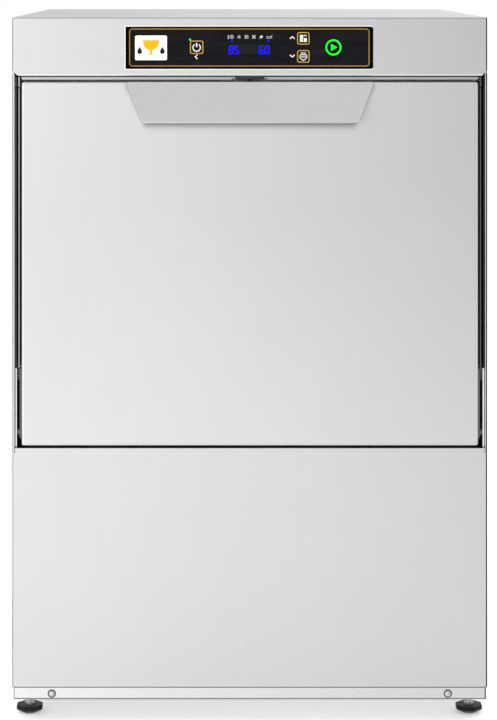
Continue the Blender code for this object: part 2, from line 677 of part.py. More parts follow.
def rack_guide(side, name):
    wall = TANK_HALF - SHEET - GAP
    profile = [(side * wall, 288), (side * wall, 326), (side * (wall - 1.5), 326),
               (side * (wall - 1.5), 305.5), (side * 183.0, 305.5), (side * 183.0, 298),
               (side * 184.5, 298), (side * 184.5, 304), (side * (wall - 1.5), 304),
               (side * (wall - 1.5), 288)]
    return piece(prism(profile, "Y", -210, 185), name, "steel")


def surface_filter():
    z0, z1 = 256.0, 257.5
    obj = box((-WELL_HALF + 2, WELL_FRONT + 2, z0), (WELL_HALF - 2, WELL_REAR - 2, z1))
    cut(obj, rod((0, SPINDLE_Y, 0), "Z", 18.6, z0 - 3, z1 + 3))
    cut(obj, rod((FILTER_X, FILTER_Y, 0), "Z", 25.0, z0 - 3, z1 + 3))
    cut(obj, rod((-FILTER_X, FILTER_Y, 0), "Z", 14.0, z0 - 3, z1 + 3))
    slots = []
    for row in range(7):
        y = -172 + 46 * row
        for column in range(7):
            x = -150 + 50 * column
            near_hole = math.hypot(x, y - SPINDLE_Y) < 34
            near_filter = y > 90 and abs(x) > 110
            if near_hole or near_filter:
                continue
            slots.append(((x - 18, y - 2, z0 - 2), (x + 18, y + 2, z1 + 2)))
    cut(obj, boxes(slots))
    return piece(obj, "surface_filter", "steel")


def sump_filter():
    obj = lathe([(0, 200), (24.3, 200), (24.3, 257.8), (30, 257.8), (30, 259.3), (22.5, 259.3),
                 (22.5, 201.5), (0, 201.5)], (FILTER_X, FILTER_Y, 0), "Z", 24)
    slots = []
    for level in range(4):
        z = 208 + 12 * level
        slots.append(((FILTER_X - 40, FILTER_Y - 11, z), (FILTER_X + 40, FILTER_Y + 11, z + 4)))
    cut(obj, boxes(slots))
    join(obj, box((FILTER_X - 23.4, FILTER_Y - 2, 252), (FILTER_X + 23.4, FILTER_Y + 2, 258.6)))
    join(obj, rod((FILTER_X, FILTER_Y, 0), "Z", 6.0, 255, 268, 20))
    piece(obj, "sump_filter", "steel")
    return set_origin(obj, (FILTER_X, FILTER_Y, 200))


def overflow_pipe():
    obj = lathe([(10.5, 172), (13, 172), (13, 258.2), (16, 258.2), (16, 266), (10.5, 266)],
                (-FILTER_X, FILTER_Y, 0), "Z", 24)
    cut(obj, box((-FILTER_X - 20, FILTER_Y - 3, 242), (-FILTER_X + 20, FILTER_Y + 3, 252)))
    piece(obj, "overflow_pipe", "grey_plastic")
    return set_origin(obj, (-FILTER_X, FILTER_Y, 172))


def tank_heater():
    rail = [(200, -90, 212), (-150, -90, 212), (-150, -150, 212), (200, -150, 212)]
    obj = cable(rail, 4.0, 24, 12)
    join(obj, box((WELL_HALF + GAP, -164, 198), (WELL_HALF + 5, -76, 226)))
    return piece(obj, "tank_heater", "polished_steel")


def manifold(name, floor_z, direction):
    """A spindle through the tank wall; direction +1 stands up, -1 hangs down."""
    def z(offset):
        return floor_z + direction * offset

    reach = REACH[name]
    outline = [(0, z(-40)), (22, z(-40)), (22, z(-GAP)), (18, z(-GAP)), (18, z(reach)),
               (10, z(reach)), (10, z(reach + 17.6)), (6, z(reach + 17.6)),
               (6, z(reach + 28)), (11.5, z(reach + 28)), (11.5, z(reach + 33)),
               (9, z(reach + 35)), (0, z(reach + 35))]
    obj = lathe(outline, (0, SPINDLE_Y, 0), "Z", 22)
    spigot_z = z(-21)
    join(obj, rod((0, SPINDLE_Y, spigot_z), "Y", 14.0, 15, 50, 17))
    join(obj, rod((0, SPINDLE_Y, spigot_z), "X", 5.0, 16.5, 42, 14))
    cut(obj, rod((0, SPINDLE_Y, spigot_z), "Y", 11.0, 26, 60, 16))
    cut(obj, rod((0, SPINDLE_Y, spigot_z), "X", 3.5, 27, 60, 10))
    return piece(obj, name, "grey_plastic")


REACH = {"lower_manifold": 75.0, "upper_manifold": 16.0}


def wash_arm(name, hub_z, nozzle_up):
    """A flattened spray tube with nozzles on the side facing the glasses."""
    z0, z1 = hub_z, hub_z + 16.6
    obj = lathe([(10.4, z0), (17.5, z0), (17.5, z1), (10.4, z1)], (0, SPINDLE_Y, 0), "Z", 22)
    mid = (z0 + z1) / 2
    outline = rounded([(-11, mid - 5.5), (11, mid - 5.5), (11, mid + 5.5), (-11, mid + 5.5)], 3, 2)
    for sx in (-1, 1):
        a, b = sorted((sx * 14.0, sx * (ARM_RADIUS - 1)))
        join(obj, prism([(SPINDLE_Y + y, z) for y, z in outline], "X", a, b))
        for k in range(4):
            x = sx * (48 + 36 * k)
            low, high = (mid + 4, mid + 8) if nozzle_up else (mid - 8, mid - 4)
            join(obj, rod((x, SPINDLE_Y, 0), "Z", 4.0, low, high, 8))
    piece(obj, name, "steel")
    return set_origin(obj, (0, SPINDLE_Y, z0))


def rinse_arm(name, hub_z, nozzle_up):
    """A thin round spray tube set across the wash arm."""
    z0, z1 = hub_z, hub_z + 9.2
    obj = lathe([(6.4, z0), (11, z0), (11, z1), (6.4, z1)], (0, SPINDLE_Y, 0), "Z", 24)
    mid = (z0 + z1) / 2
    for sy in (-1, 1):
        a, b = sorted((sy * 9.0, sy * (ARM_RADIUS - 12)))
        join(obj, rod((0, SPINDLE_Y, mid), "Y", 4.2, a, b, 10))
        for k in range(4):
            y = SPINDLE_Y + sy * (40 + 34 * k)
            low, high = (mid + 3, mid + 6) if nozzle_up else (mid - 6, mid - 3)
            join(obj, rod((0, y, 0), "Z", 2.6, low, high, 6))
    piece(obj, name, "steel")
    return set_origin(obj, (0, SPINDLE_Y, z0))


# ---- water circuit ------------------------------------------------------------
def pump_casing():
    x, y, z = PUMP_X, PUMP_Y, PUMP_Z
    obj = rod((x, y, z), "X", 52, -20, 20, 28)
    join(obj, rod((x, y, z + 36), "Y", 14.0, 0, 78))
    join(obj, rod((x, y, z), "X", 17.0, -42, -15))
    cut(obj, rod((x, y, z), "X", 47, -15, 15, 28))
    cut(obj, rod((x, y, z + 36), "Y", 10.5, 0, 90))
    cut(obj, rod((x, y, z), "X", 14.0, -60, -10))
    cut(obj, rod((x, y, z), "X", 9.0, 10, 30))
    return piece(obj, "pump_casing", "black_plastic")


def pump_motor():
    x, y, z = PUMP_X, PUMP_Y, PUMP_Z
    profile = [(0, 20.3), (30, 20.3), (44, 26), (44, 112), (38, 120), (0, 120)]
    obj = lathe(profile, (x, y, z), "X", 28)
    join(obj, box((x + 34, y - 34, PAN_TOP + GAP), (x + 104, y + 34, PAN_TOP + 6)))
    join(obj, boxes([((x + 40, y - 22, PAN_TOP + 4), (x + 48, y + 22, z - 30)),
                     ((x + 90, y - 22, PAN_TOP + 4), (x + 98, y + 22, z - 30))]))
    join(obj, box((x + 45, y - 62, z - 22), (x + 95, y - 36, z + 22)))
    cut(obj, rod((x, y, z), "X", 8.5, 10, 60, 20))
    return piece(obj, "pump_motor", "motor_paint")


def pump_impeller():
    x, y, z = PUMP_X, PUMP_Y, PUMP_Z
    obj = rod((x, y, z), "X", 38, 4, 7, 32)
    join(obj, rod((x, y, z), "X", 11, -8, 6, 20))
    join(obj, rod((x, y, z), "X", 7.6, 5, 55, 16))
    for k in range(6):
        a = math.radians(60 * k)
        u = Vector((math.cos(a), math.sin(a)))
        v = Vector((-math.sin(a), math.cos(a)))
        corners = [u * 8 - v * 1.2, u * 36 - v * 8.2, u * 36.5 - v * 5.6, u * 8 + v * 1.2]
        blade = [(y + c.x, z + c.y) for c in corners]
        join(obj, prism(blade, "X", x - 7, x + 5))
    piece(obj, "pump_impeller", "white_plastic")
    return set_origin(obj, (x, y, z))


def suction_hose():
    line = [(-130, PUMP_Y, 188), (-130, PUMP_Y, PUMP_Z), (-77, PUMP_Y, PUMP_Z)]
    return piece(hose(line, 20.5, 17.5, 30, 16), "suction_hose", "rubber", smooth=True)


def two_hollow_lines(main, branch, outer, inner, bend, sides):
    obj = cable(main, outer, bend, sides)
    join(obj, cable(branch, outer, bend, sides))
    longer = [extend(main, 5), extend(branch, 5, last=False)]
    cut(obj, cable(longer[0], inner, bend, sides), cable(longer[1], inner, bend, sides))
    return obj


def extend(points, amount, last=True):
    """The same centre line, a little longer at its open ends."""
    first = Vector(points[0]) + (Vector(points[0]) - Vector(points[1])).normalized() * amount
    line = [tuple(first)] + list(points[1:])
    if last:
        end = Vector(points[-1]) + (Vector(points[-1]) - Vector(points[-2])).normalized() * amount
        line = line[:-1] + [tuple(end)]
    return line


def wash_pipe():
    low = WELL_LOW - 21.0
    high = TANK_HIGH + 21.0
    main = [(PUMP_X, 32, PUMP_Z + 36), (PUMP_X, 100, PUMP_Z + 36), (PUMP_X, 150, low),
            (PUMP_X, 229, low), (PUMP_X, 229, high), (0, 229, high), (0, 10, high)]
    branch = [(0, 12, low), (0, 110, low), (PUMP_X, 190, low)]
    obj = two_hollow_lines(main, branch, 17.0, 14.6, 24, 12)
    return piece(obj, "wash_pipe", "rubber")


def rinse_boiler():
    profile = [(0, -108), (30, -108), (44, -102), (BOILER_R, -92), (BOILER_R, 80), (44, 90),
               (30, 96), (0, 96)]
    obj = lathe(profile, (BOILER_X, 0, BOILER_Z), "Y", 28)
    join(obj, rod((BOILER_X, 60, 0), "Z", 5.0, BOILER_Z + 40, 166, 12))
    join(obj, rod((BOILER_X, 0, 75), "Y", 5.0, 90, 118, 12))
    for y in (-70, 50):
        join(obj, box((BOILER_X - 30, y, PAN_TOP + GAP), (BOILER_X + 30, y + 12, BOILER_Z - 30)))
    return piece(obj, "rinse_boiler", "polished_steel")


def boiler_heater():
    y = -108.3
    obj = lathe([(0, y - 16), (6, y - 16), (6, y - 8), (24, y - 8), (28, y - 5), (28, y), (0, y)],
                (BOILER_X, 0, BOILER_Z), "Y", 24)
    for k in range(3):
        a = math.radians(90 + 120 * k)
        pin = (BOILER_X + 15 * math.cos(a), 0, BOILER_Z + 15 * math.sin(a))
        join(obj, rod(pin, "Y", 2.5, y - 20, y - 7, 12))
    return piece(obj, "boiler_heater", "brass")


def rinse_pipe():
    low = WELL_LOW - 21.0
    high = TANK_HIGH + 21.0
    main = [(BOILER_X, 60, 153), (BOILER_X, 60, 180), (BOILER_X, 229, 180),
            (BOILER_X, 229, high), (110, 229, high), (110, SPINDLE_Y, high),
            (26, SPINDLE_Y, high)]
    branch = [(26, SPINDLE_Y, low), (92, SPINDLE_Y, low), (92, 150, 180), (BOILER_X, 190, 180)]
    obj = two_hollow_lines(main, branch, 8.0, 5.5, 12, 10)
    return piece(obj, "rinse_pipe", "white_plastic")


def inlet_valve():
    x, z = BOILER_X, 75
    obj = box((x - 17, 228, z - 15), (x + 17, 256, z + 15))
    join(obj, rod((x, 0, z), "Y", 13.2, 250, REAR + OVERHANG, 28))
    join(obj, rod((x, 0, z), "Y", 5.0, 206, 232, 20))
    join(obj, rod((x, 242, 0), "Z", 13.0, z + 12, z + 48, 24))
    cut(obj, rod((x, 0, z), "Y", 9.5, REAR - 2, REAR + OVERHANG + 5, 24))
    return piece(obj, "inlet_valve", "white_plastic")


def fill_hose():
    line = [(BOILER_X, 102, 75), (BOILER_X, 160, 75), (BOILER_X, 222, 75)]
    return piece(straight_hose(line[0], line[-1], 8.0, 5.4), "fill_hose", "rubber")


def straight_hose(start, end, outer, inner):
    length = end[1] - start[1]
    return lathe([(inner, 0), (outer, 0), (outer, length), (inner, length)], start, "Y", 16)


def drain_hose():
    line = [(-FILTER_X, FILTER_Y, 164), (-FILTER_X, FILTER_Y, 70),
            (-150, 200, 70), (-150, REAR + OVERHANG, 70)]
    return piece(hose(line, 13.0, 10.5, 20, 14), "drain_hose", "grey_plastic", smooth=True)


def mains_cable():
    obj = box((-84, 190, PAN_TOP + GAP), (-36, 222, 74))
    join(obj, rod((-60, 0, 56), "Y", 8.0, 222 - 2, 268, 20))
    join(obj, rod((-60, 0, 56), "Y", 12.0, 255, REAR - SHEET - GAP, 6))
    join(obj, rod((-60, 0, 56), "Y", 12.0, REAR + GAP, REAR + 9, 6))
    join(obj, rod((-60, 0, 56), "Y", 5.0, 260, REAR + OVERHANG, 16))
    return piece(obj, "mains_cable", "black_plastic")


def dosing_pump():
    x, z = -175.0, 150.0
    obj = box((x - 28, -246, z - 30), (x + 28, -212, z + 30))
    join(obj, box((x - 12, -232, PAN_TOP + GAP), (x + 12, -229, z - 20)))
    join(obj, rod((x, 0, z), "Y", 22, -215, -180))
    cut(obj, rod((x, 0, z), "Y", 20.5, -255, -230))
    cut(obj, rod((x, 0, z), "Y", 4.3, -240, -200, 16))
    return piece(obj, "dosing_pump", "grey_plastic")


def dosing_rotor():
    x, z = -175.0, 150.0
    obj = rod((x, 0, z), "Y", 14, -244, -232, 24)
    join(obj, rod((x, 0, z), "Y", 4.0, -235, -202, 16))
    for k in range(3):
        a = math.radians(90 + 120 * k)
        roller = (x + 14 * math.cos(a), 0, z + 14 * math.sin(a))
        join(obj, rod(roller, "Y", 4.5, -243, -233, 14))
    piece(obj, "dosing_rotor", "blue_plastic")
    return set_origin(obj, (x, -238, z))


# ---- assembly -----------------------------------------------------------------
def build_cabinet():
    base_frame()
    side_panel(-1, "left_side_panel")
    side_panel(1, "right_side_panel")
    rear_panel()
    top_cover()
    service_panel()
    front_frame()
    door_seal()
    screw(-196.0, "base_screw_left")
    screw(196.0, "base_screw_right")
    for sx, side in ((-1, "left"), (1, "right")):
        foot(sx, -1, "foot_front_" + side)
        foot(sx, 1, "foot_rear_" + side)


def build_controls():
    control_panel()
    display_window()
    for name in BUTTONS:
        square_button(name)
    start_button()
    control_board()
    catch_housing()
    catch_plunger()


def build_door():
    for obj in (door_outer_panel(), door_inner_panel(), door_handle(), catch_strike()):
        set_origin(obj, (0, HINGE_Y, HINGE_Z))
    for side, word in ((-1, "left"), (1, "right")):
        hinge_lever(side, word + "_hinge_lever")
        hinge_bracket(side, word + "_hinge_bracket")
        door_strut(side, word + "_door_strut")


def build_chamber():
    wash_tank()
    rack_guide(-1, "left_rack_guide")
    rack_guide(1, "right_rack_guide")
    surface_filter()
    sump_filter()
    overflow_pipe()
    tank_heater()
    manifold("lower_manifold", WELL_LOW, 1)
    manifold("upper_manifold", TANK_HIGH, -1)
    low = WELL_LOW + REACH["lower_manifold"]
    high = TANK_HIGH - REACH["upper_manifold"]
    wash_arm("lower_wash_arm", low + 0.5, True)
    rinse_arm("lower_rinse_arm", low + 18.2, True)
    wash_arm("upper_wash_arm", high - 0.5 - 16.6, False)
    rinse_arm("upper_rinse_arm", high - 18.2 - 9.2, False)


def build_water():
    pump_casing()
    pump_motor()
    pump_impeller()
    suction_hose()
    wash_pipe()
    rinse_boiler()
    boiler_heater()
    rinse_pipe()
    inlet_valve()
    fill_hose()
    drain_hose()
    mains_cable()
    dosing_pump()
    dosing_rotor()


clear_scene()
build_cabinet()
build_controls()
build_door()
build_chamber()
build_water()
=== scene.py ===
"""Looks for an under-counter glass washer: steel cabinet, drop-down door, black control strip."""
import math

import bmesh
import bpy
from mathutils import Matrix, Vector
from mathutils.geometry import tessellate_polygon

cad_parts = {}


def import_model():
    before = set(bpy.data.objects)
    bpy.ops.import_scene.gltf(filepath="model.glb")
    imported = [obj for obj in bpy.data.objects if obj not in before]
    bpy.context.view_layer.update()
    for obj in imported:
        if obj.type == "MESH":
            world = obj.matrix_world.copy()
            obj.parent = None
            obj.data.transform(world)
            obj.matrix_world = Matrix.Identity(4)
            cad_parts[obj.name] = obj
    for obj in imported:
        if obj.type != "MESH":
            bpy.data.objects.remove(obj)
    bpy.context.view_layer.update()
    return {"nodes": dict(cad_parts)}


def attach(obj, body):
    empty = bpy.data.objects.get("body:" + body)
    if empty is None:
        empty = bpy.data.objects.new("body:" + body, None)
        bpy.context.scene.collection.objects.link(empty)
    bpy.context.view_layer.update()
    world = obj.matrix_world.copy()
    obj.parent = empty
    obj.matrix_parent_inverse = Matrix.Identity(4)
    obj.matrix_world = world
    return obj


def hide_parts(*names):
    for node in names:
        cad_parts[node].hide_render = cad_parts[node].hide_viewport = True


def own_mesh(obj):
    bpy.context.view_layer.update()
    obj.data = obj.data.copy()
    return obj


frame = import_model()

MM = 0.001
NODES = frame["nodes"]


# ---- node-tree helpers --------------------------------------------------------
def add(tree, kind, inputs=None, **props):
    """One shader node; inputs maps a socket to a value or to another socket."""
    node = tree.nodes.new(kind)
    for key, value in props.items():
        setattr(node, key, value)
    for key, value in (inputs or {}).items():
        if isinstance(value, bpy.types.NodeSocket):
            tree.links.new(value, node.inputs[key])
        else:
            node.inputs[key].default_value = value
    return node


def math_node(tree, operation, a, b=0.0, clamp=False):
    return add(tree, "ShaderNodeMath", {0: a, 1: b}, operation=operation,
               use_clamp=clamp).outputs[0]


def vector_node(tree, operation, a, b):
    return add(tree, "ShaderNodeVectorMath", {0: a, 1: b}, operation=operation).outputs[0]


def remap(tree, value, low, high, out_low, out_high, smooth=False):
    return add(tree, "ShaderNodeMapRange",
               {0: value, 1: low, 2: high, 3: out_low, 4: out_high},
               interpolation_type="SMOOTHSTEP" if smooth else "LINEAR").outputs[0]


def mix_colour(tree, share, a, b):
    return add(tree, "ShaderNodeMix", {0: share, 6: a, 7: b}, data_type="RGBA").outputs[2]


def mix_vector(tree, share, a, b):
    return add(tree, "ShaderNodeMix", {0: share, 4: a, 5: b}, data_type="VECTOR").outputs[1]


def noise(tree, vector, scale, detail=2.0, rough=0.5):
    return add(tree, "ShaderNodeTexNoise",
               {"Vector": vector, "Scale": scale, "Detail": detail, "Roughness": rough}).outputs[0]


def grey(value):
    return (value, value, value, 1.0)


def shade(colour, factor):
    return tuple(c * factor for c in colour[:3]) + (1.0,)


def new_material(name):
    mat = bpy.data.materials.new(name)
    mat.use_nodes = True
    tree = mat.node_tree
    tree.nodes.clear()
    out = add(tree, "ShaderNodeOutputMaterial")
    bsdf = add(tree, "ShaderNodeBsdfPrincipled")
    tree.links.new(bsdf.outputs[0], out.inputs[0])
    return mat, tree, bsdf


def set_inputs(tree, bsdf, **values):
    for key, value in values.items():
        socket = bsdf.inputs[key.replace("_", " ")]
        if isinstance(value, bpy.types.NodeSocket):
            tree.links.new(value, socket)
        else:
            socket.default_value = value


def edge_mask(tree, radius):
    """1 along convex and concave edges, 0 on flats."""
    soft = add(tree, "ShaderNodeBevel", {"Radius": radius}, samples=4).outputs[0]
    true = add(tree, "ShaderNodeNewGeometry").outputs["Normal"]
    dot = add(tree, "ShaderNodeVectorMath", {0: soft, 1: true}, operation="DOT_PRODUCT")
    bend = math_node(tree, "SUBTRACT", 1.0, dot.outputs["Value"])
    return remap(tree, bend, 0.02, 0.25, 0.0, 1.0)


def bump(tree, height, strength, distance):
    return add(tree, "ShaderNodeBump",
               {"Height": height, "Strength": strength, "Distance": distance}).outputs[0]


# ---- materials ------------------------------------------------------------------
ANISOTROPY = 0.45
NEARLY_BLACK, DARK_LINE, SHADE = 0.004, 0.01, 0.02   # grey levels of the painted dark lines and of the painted shade
FRONT_PLANE = (-0.2630, -0.2634)     # y range over which the front's painted dark lines and highlights fade in
CORNER_GAP = (0.0010, 0.0016)        # how far in the painted dark corner line starts, left and right
LINE_SOFT = 0.0002                   # width over which a painted line fades
HANDLE_EDGE = 0.5962                 # z of the lower edge of the pull
HANDLE_SHADE_LOW = 0.5868            # z where the shade under the pull has died away
LIP_FROM, RIM_FROM = 0.2268, 0.2302  # distance from the middle of the frame's lip and rim, where their painted shade starts
RIM_SOFT = 0.0006
AO_REACH = 0.006


def split(tree, vector):
    """The x, y and z of a vector."""
    return add(tree, "ShaderNodeSeparateXYZ", {0: vector}).outputs


def upright_fold(tree, facing):
    """1 round the upright folds between a front and a side, 0 on flats and level folds."""
    parts = split(tree, facing)
    both = math_node(tree, "ABSOLUTE", math_node(tree, "MULTIPLY", parts[0], parts[1]))
    return remap(tree, both, 0.05, 0.22, 0.0, 1.0, True)


def folded(tree, base, place, facing, fold, crest, glint, half, hem):
    """Painted shade and highlight: dark outer, bright inner line on the front's upright corners,
    grey on top.
    """
    if crest:
        # Painted shade: a grey line on the upper level fold; painted highlight: white on the lower
        # one.
        rise = split(tree, facing)[2]
        upper = math_node(tree, "MULTIPLY", remap(tree, rise, 0.04, 0.16, 0.0, 1.0, True),
                          remap(tree, rise, 0.55, 0.75, 1.0, 0.0, True))
        base = mix_colour(tree, math_node(tree, "MULTIPLY", upper, crest), base, grey(0.10))
        lower = math_node(tree, "MULTIPLY", remap(tree, rise, -0.05, -0.2, 0.0, 1.0, True),
                          remap(tree, rise, -0.8, -0.95, 1.0, 0.0, True))
        base = mix_colour(tree, lower, base, grey(1.0))
    # Painted shade: a dark line at the front's upright corners and, with hem, along its lower edge.
    x, y, z = split(tree, place)
    front = remap(tree, y, *FRONT_PLANE, 0.0, 1.0)
    out = math_node(tree, "ADD", math_node(tree, "ABSOLUTE", x),
                    remap(tree, x, -0.2, 0.2, *CORNER_GAP))
    line = remap(tree, out, half - LINE_SOFT / 2, half + LINE_SOFT, 0.0, fold)
    line = math_node(tree, "MULTIPLY", line, front)
    if hem:
        low = remap(tree, z, hem, hem - LINE_SOFT, 0.0, fold * 0.85)
        line = math_node(tree, "MAXIMUM", line, math_node(tree, "MULTIPLY", low, front))
    # Painted highlight: a bright line just inside the dark corner line.
    beside = remap(tree, out, half - glint, half + LINE_SOFT - glint, 0.0, 1.0)
    beside = math_node(tree, "MULTIPLY", beside, math_node(tree, "SUBTRACT", front, line))
    base = mix_colour(tree, beside, base, grey(0.8))
    return mix_colour(tree, line, base, grey(NEARLY_BLACK)), line, beside


def under_handle(tree, place):
    """The soft band of shade that the folded lower edge of the pull throws on the door."""
    x, _, z = split(tree, place)
    fade = math_node(tree, "POWER", remap(tree, z, HANDLE_SHADE_LOW, 0.5960, 0.0, 1.0), 1.6)
    fade = math_node(tree, "MULTIPLY", fade, remap(tree, z, HANDLE_EDGE, 0.5975, 1.0, 0.0))
    ends = remap(tree, math_node(tree, "ABSOLUTE", x), 0.101, 0.109, 0.78, 0.0, True)
    return math_node(tree, "MULTIPLY", fade, ends)


def brushed_steel(name, tone=0.80, rough=0.30, grain=1.0, upright="Z", flat="X",
                  tint=(1.0, 1.0, 0.995), stain=1.0, fold=0.0, crest=0.0, outer=1.0,
                  glint=0.0007, shine=0.12, lit_edge=0.0, contact=0.0, rim_line=0.0, satin=0.0,
                  half=0.235, hem=0.0):
    """Rolled stainless sheet: fine grain along its length, cloudy variation, polished edges.

    upright and flat name the axis of the grain on upright and on level faces. fold, half and
    hem paint dark lines of shade at the front's corners and lower edge, glint and shine a
    glowing painted highlight beside them, crest a painted grey shade line and a painted
    highlight on a level fold. outer paints shade on the frame's lip and rim, lit_edge paints a
    glowing highlight on upright folds, contact paints shade in narrow gaps and under the pull,
    rim_line paints shade that darkens edges, and satin makes the sheet less of a mirror.
    """
    mat, tree, bsdf = new_material(name)
    coord = add(tree, "ShaderNodeTexCoord")
    place = coord.outputs["Object"]
    outward = coord.outputs["Normal"]
    rise = math_node(tree, "ABSOLUTE", split(tree, outward)[2])
    level = math_node(tree, "GREATER_THAN", rise, 0.6)

    def stretched(across, along):
        def scale(axis):
            return tuple(along if a == axis else across for a in "XYZ")
        up = vector_node(tree, "MULTIPLY", place, scale(upright))
        over = vector_node(tree, "MULTIPLY", place, scale(flat))
        return mix_vector(tree, level, up, over)

    fine = noise(tree, stretched(1500.0, 22.0), 1.0, 3.0, 0.6)
    streak = noise(tree, stretched(240.0, 3.0), 1.0, 2.0, 0.55)
    cloud = noise(tree, place, 5.0, 3.0, 0.55)
    smear = noise(tree, stretched(26.0, 9.0), 1.0, 2.0, 0.5)
    edge = edge_mask(tree, 0.0010)
    light = remap(tree, fine, 0.2, 0.8, 1.0 - 0.022 * grain, 1.0 + 0.022 * grain)
    light = math_node(tree, "MULTIPLY", light, remap(tree, streak, 0.3, 0.7, 0.994, 1.006))
    light = math_node(tree, "MULTIPLY", light,
                      remap(tree, cloud, 0.25, 0.75, 1.0 - 0.016 * stain, 1.0 + 0.012 * stain))
    base = add(tree, "ShaderNodeVectorMath",
               {0: tuple(tone * t for t in tint), "Scale": light}, operation="SCALE").outputs[0]
    base = mix_colour(tree, math_node(tree, "MULTIPLY", edge, 0.4), base, grey(0.92))
    # Painted shade on the frame's lip and rim in the door gap, darker on the right than the left.
    if outer < 1.0:
        x = split(tree, place)[0]
        off_centre = math_node(tree, "ABSOLUTE", x)
        lip = remap(tree, off_centre, LIP_FROM, LIP_FROM + RIM_SOFT, 0.0, 1.0)
        lip = math_node(tree, "MULTIPLY", lip, remap(tree, x, -0.2, 0.2, 0.30, 0.76))
        base = mix_colour(tree, lip, base, grey(DARK_LINE))
        rim = remap(tree, off_centre, RIM_FROM, RIM_FROM + RIM_SOFT, 0.0, 1.0 - outer)
        base = mix_colour(tree, rim, base, grey(DARK_LINE))
    lit, metal = None, 1.0 - satin
    if contact:
        shut = add(tree, "ShaderNodeAmbientOcclusion", {"Distance": AO_REACH}, samples=8)
        shut = remap(tree, shut.outputs["AO"], 0.96, 0.45, 0.0, contact)
        base = mix_colour(tree, shut, base, grey(SHADE))
        base = mix_colour(tree, under_handle(tree, place), base, grey(SHADE))
    # Painted shade: a dark outline round the pull's edges and a dark band along its lower edge.
    if rim_line:
        bottom = remap(tree, split(tree, place)[2], HANDLE_EDGE, HANDLE_EDGE + RIM_SOFT,
                       rim_line * 0.8, 0.0)
        base = mix_colour(tree, bottom, base, grey(0.03))
        base = mix_colour(tree, math_node(tree, "MULTIPLY", edge, rim_line), base, grey(0.03))
    # Painted dark line and painted highlight at the folds; lit_edge paints a glowing highlight on
    # upright folds.
    if fold:
        base, line, beside = folded(tree, base, place, outward, fold, crest, glint, half, hem)
        metal = math_node(tree, "SUBTRACT", 1.0, line)
        set_inputs(tree, bsdf, Specular_IOR_Level=math_node(tree, "MULTIPLY", metal, 0.5))
        lit = math_node(tree, "MULTIPLY", beside, shine)
    elif lit_edge:
        lit = math_node(tree, "MULTIPLY", upright_fold(tree, outward), lit_edge)
    roughness = math_node(tree, "ADD", rough,
                          remap(tree, fine, 0.2, 0.8, -0.015 * grain, 0.020 * grain))
    roughness = math_node(tree, "ADD", roughness, remap(tree, smear, 0.3, 0.7, -0.012, 0.016))
    roughness = math_node(tree, "SUBTRACT", roughness, math_node(tree, "MULTIPLY", edge, 0.06),
                          clamp=True)
    height = math_node(tree, "ADD", fine, math_node(tree, "MULTIPLY", streak, 0.4))
    axis = mix_vector(tree, level, tuple(float(a == upright) for a in "XYZ"),
                      tuple(float(a == flat) for a in "XYZ"))
    world_axis = add(tree, "ShaderNodeVectorTransform", {0: axis}, vector_type="VECTOR",
                     convert_from="OBJECT", convert_to="WORLD").outputs[0]
    facing = add(tree, "ShaderNodeNewGeometry").outputs["Normal"]
    across = vector_node(tree, "CROSS_PRODUCT", facing, world_axis)
    set_inputs(tree, bsdf, Base_Color=base, Metallic=metal, Roughness=roughness,
               Anisotropic=ANISOTROPY, Tangent=across,
               Normal=bump(tree, height, 0.05 * grain, 0.00004))
    # The emission paints the highlight: it makes the steel glow though it is no lamp.
    if lit:
        set_inputs(tree, bsdf, Emission_Color=grey(1.0), Emission_Strength=lit)
    return mat


def turned_metal(name, colour, rough, glow=0.0):
    """Polished or plated small metal parts: faint machining rings, worn bright edges; glow is
    painted light.
    """
    mat, tree, bsdf = new_material(name)
    place = add(tree, "ShaderNodeTexCoord").outputs["Object"]
    rings = noise(tree, place, 2600.0)
    film = noise(tree, place, 60.0, 3.0, 0.6)
    edge = edge_mask(tree, 0.0008)
    base = mix_colour(tree, remap(tree, film, 0.3, 0.7, 0.0, 1.0), shade(colour, 0.86), colour)
    base = mix_colour(tree, math_node(tree, "MULTIPLY", edge, 0.6), base,
                      tuple(min(1.0, c * 1.15 + 0.06) for c in colour[:3]) + (1.0,))
    roughness = math_node(tree, "ADD", rough, remap(tree, film, 0.3, 0.7, -0.04, 0.08))
    set_inputs(tree, bsdf, Base_Color=base, Metallic=1.0, Roughness=roughness,
               Emission_Color=base, Emission_Strength=glow,
               Normal=bump(tree, rings, 0.08, 0.00005))
    return mat


def moulded(name, colour, rough, texture=900.0, depth=0.25, coat=0.0, clouding=0.12):
    """Moulded plastic or rubber: spark-eroded grain, slight colour drift, scuffed edges."""
    mat, tree, bsdf = new_material(name)
    place = add(tree, "ShaderNodeTexCoord").outputs["Object"]
    pores = noise(tree, place, texture, 3.0, 0.6)
    drift = noise(tree, place, 22.0, 3.0, 0.55)
    edge = edge_mask(tree, 0.0012)
    dusty = tuple(c * 0.72 + 0.10 for c in colour[:3]) + (1.0,)
    base = mix_colour(tree, remap(tree, drift, 0.3, 0.7, 0.0, 1.0),
                      shade(colour, 1.0 - clouding), shade(colour, 1.0 + clouding))
    base = mix_colour(tree, math_node(tree, "MULTIPLY", edge, 0.35), base, dusty)
    roughness = math_node(tree, "ADD", rough, remap(tree, drift, 0.3, 0.7, -0.06, 0.07))
    roughness = math_node(tree, "ADD", roughness, remap(tree, pores, 0.3, 0.7, -0.03, 0.04))
    set_inputs(tree, bsdf, Base_Color=base, Roughness=roughness, Coat_Weight=coat,
               Coat_Roughness=0.08, Normal=bump(tree, pores, depth, 0.00008))
    return mat


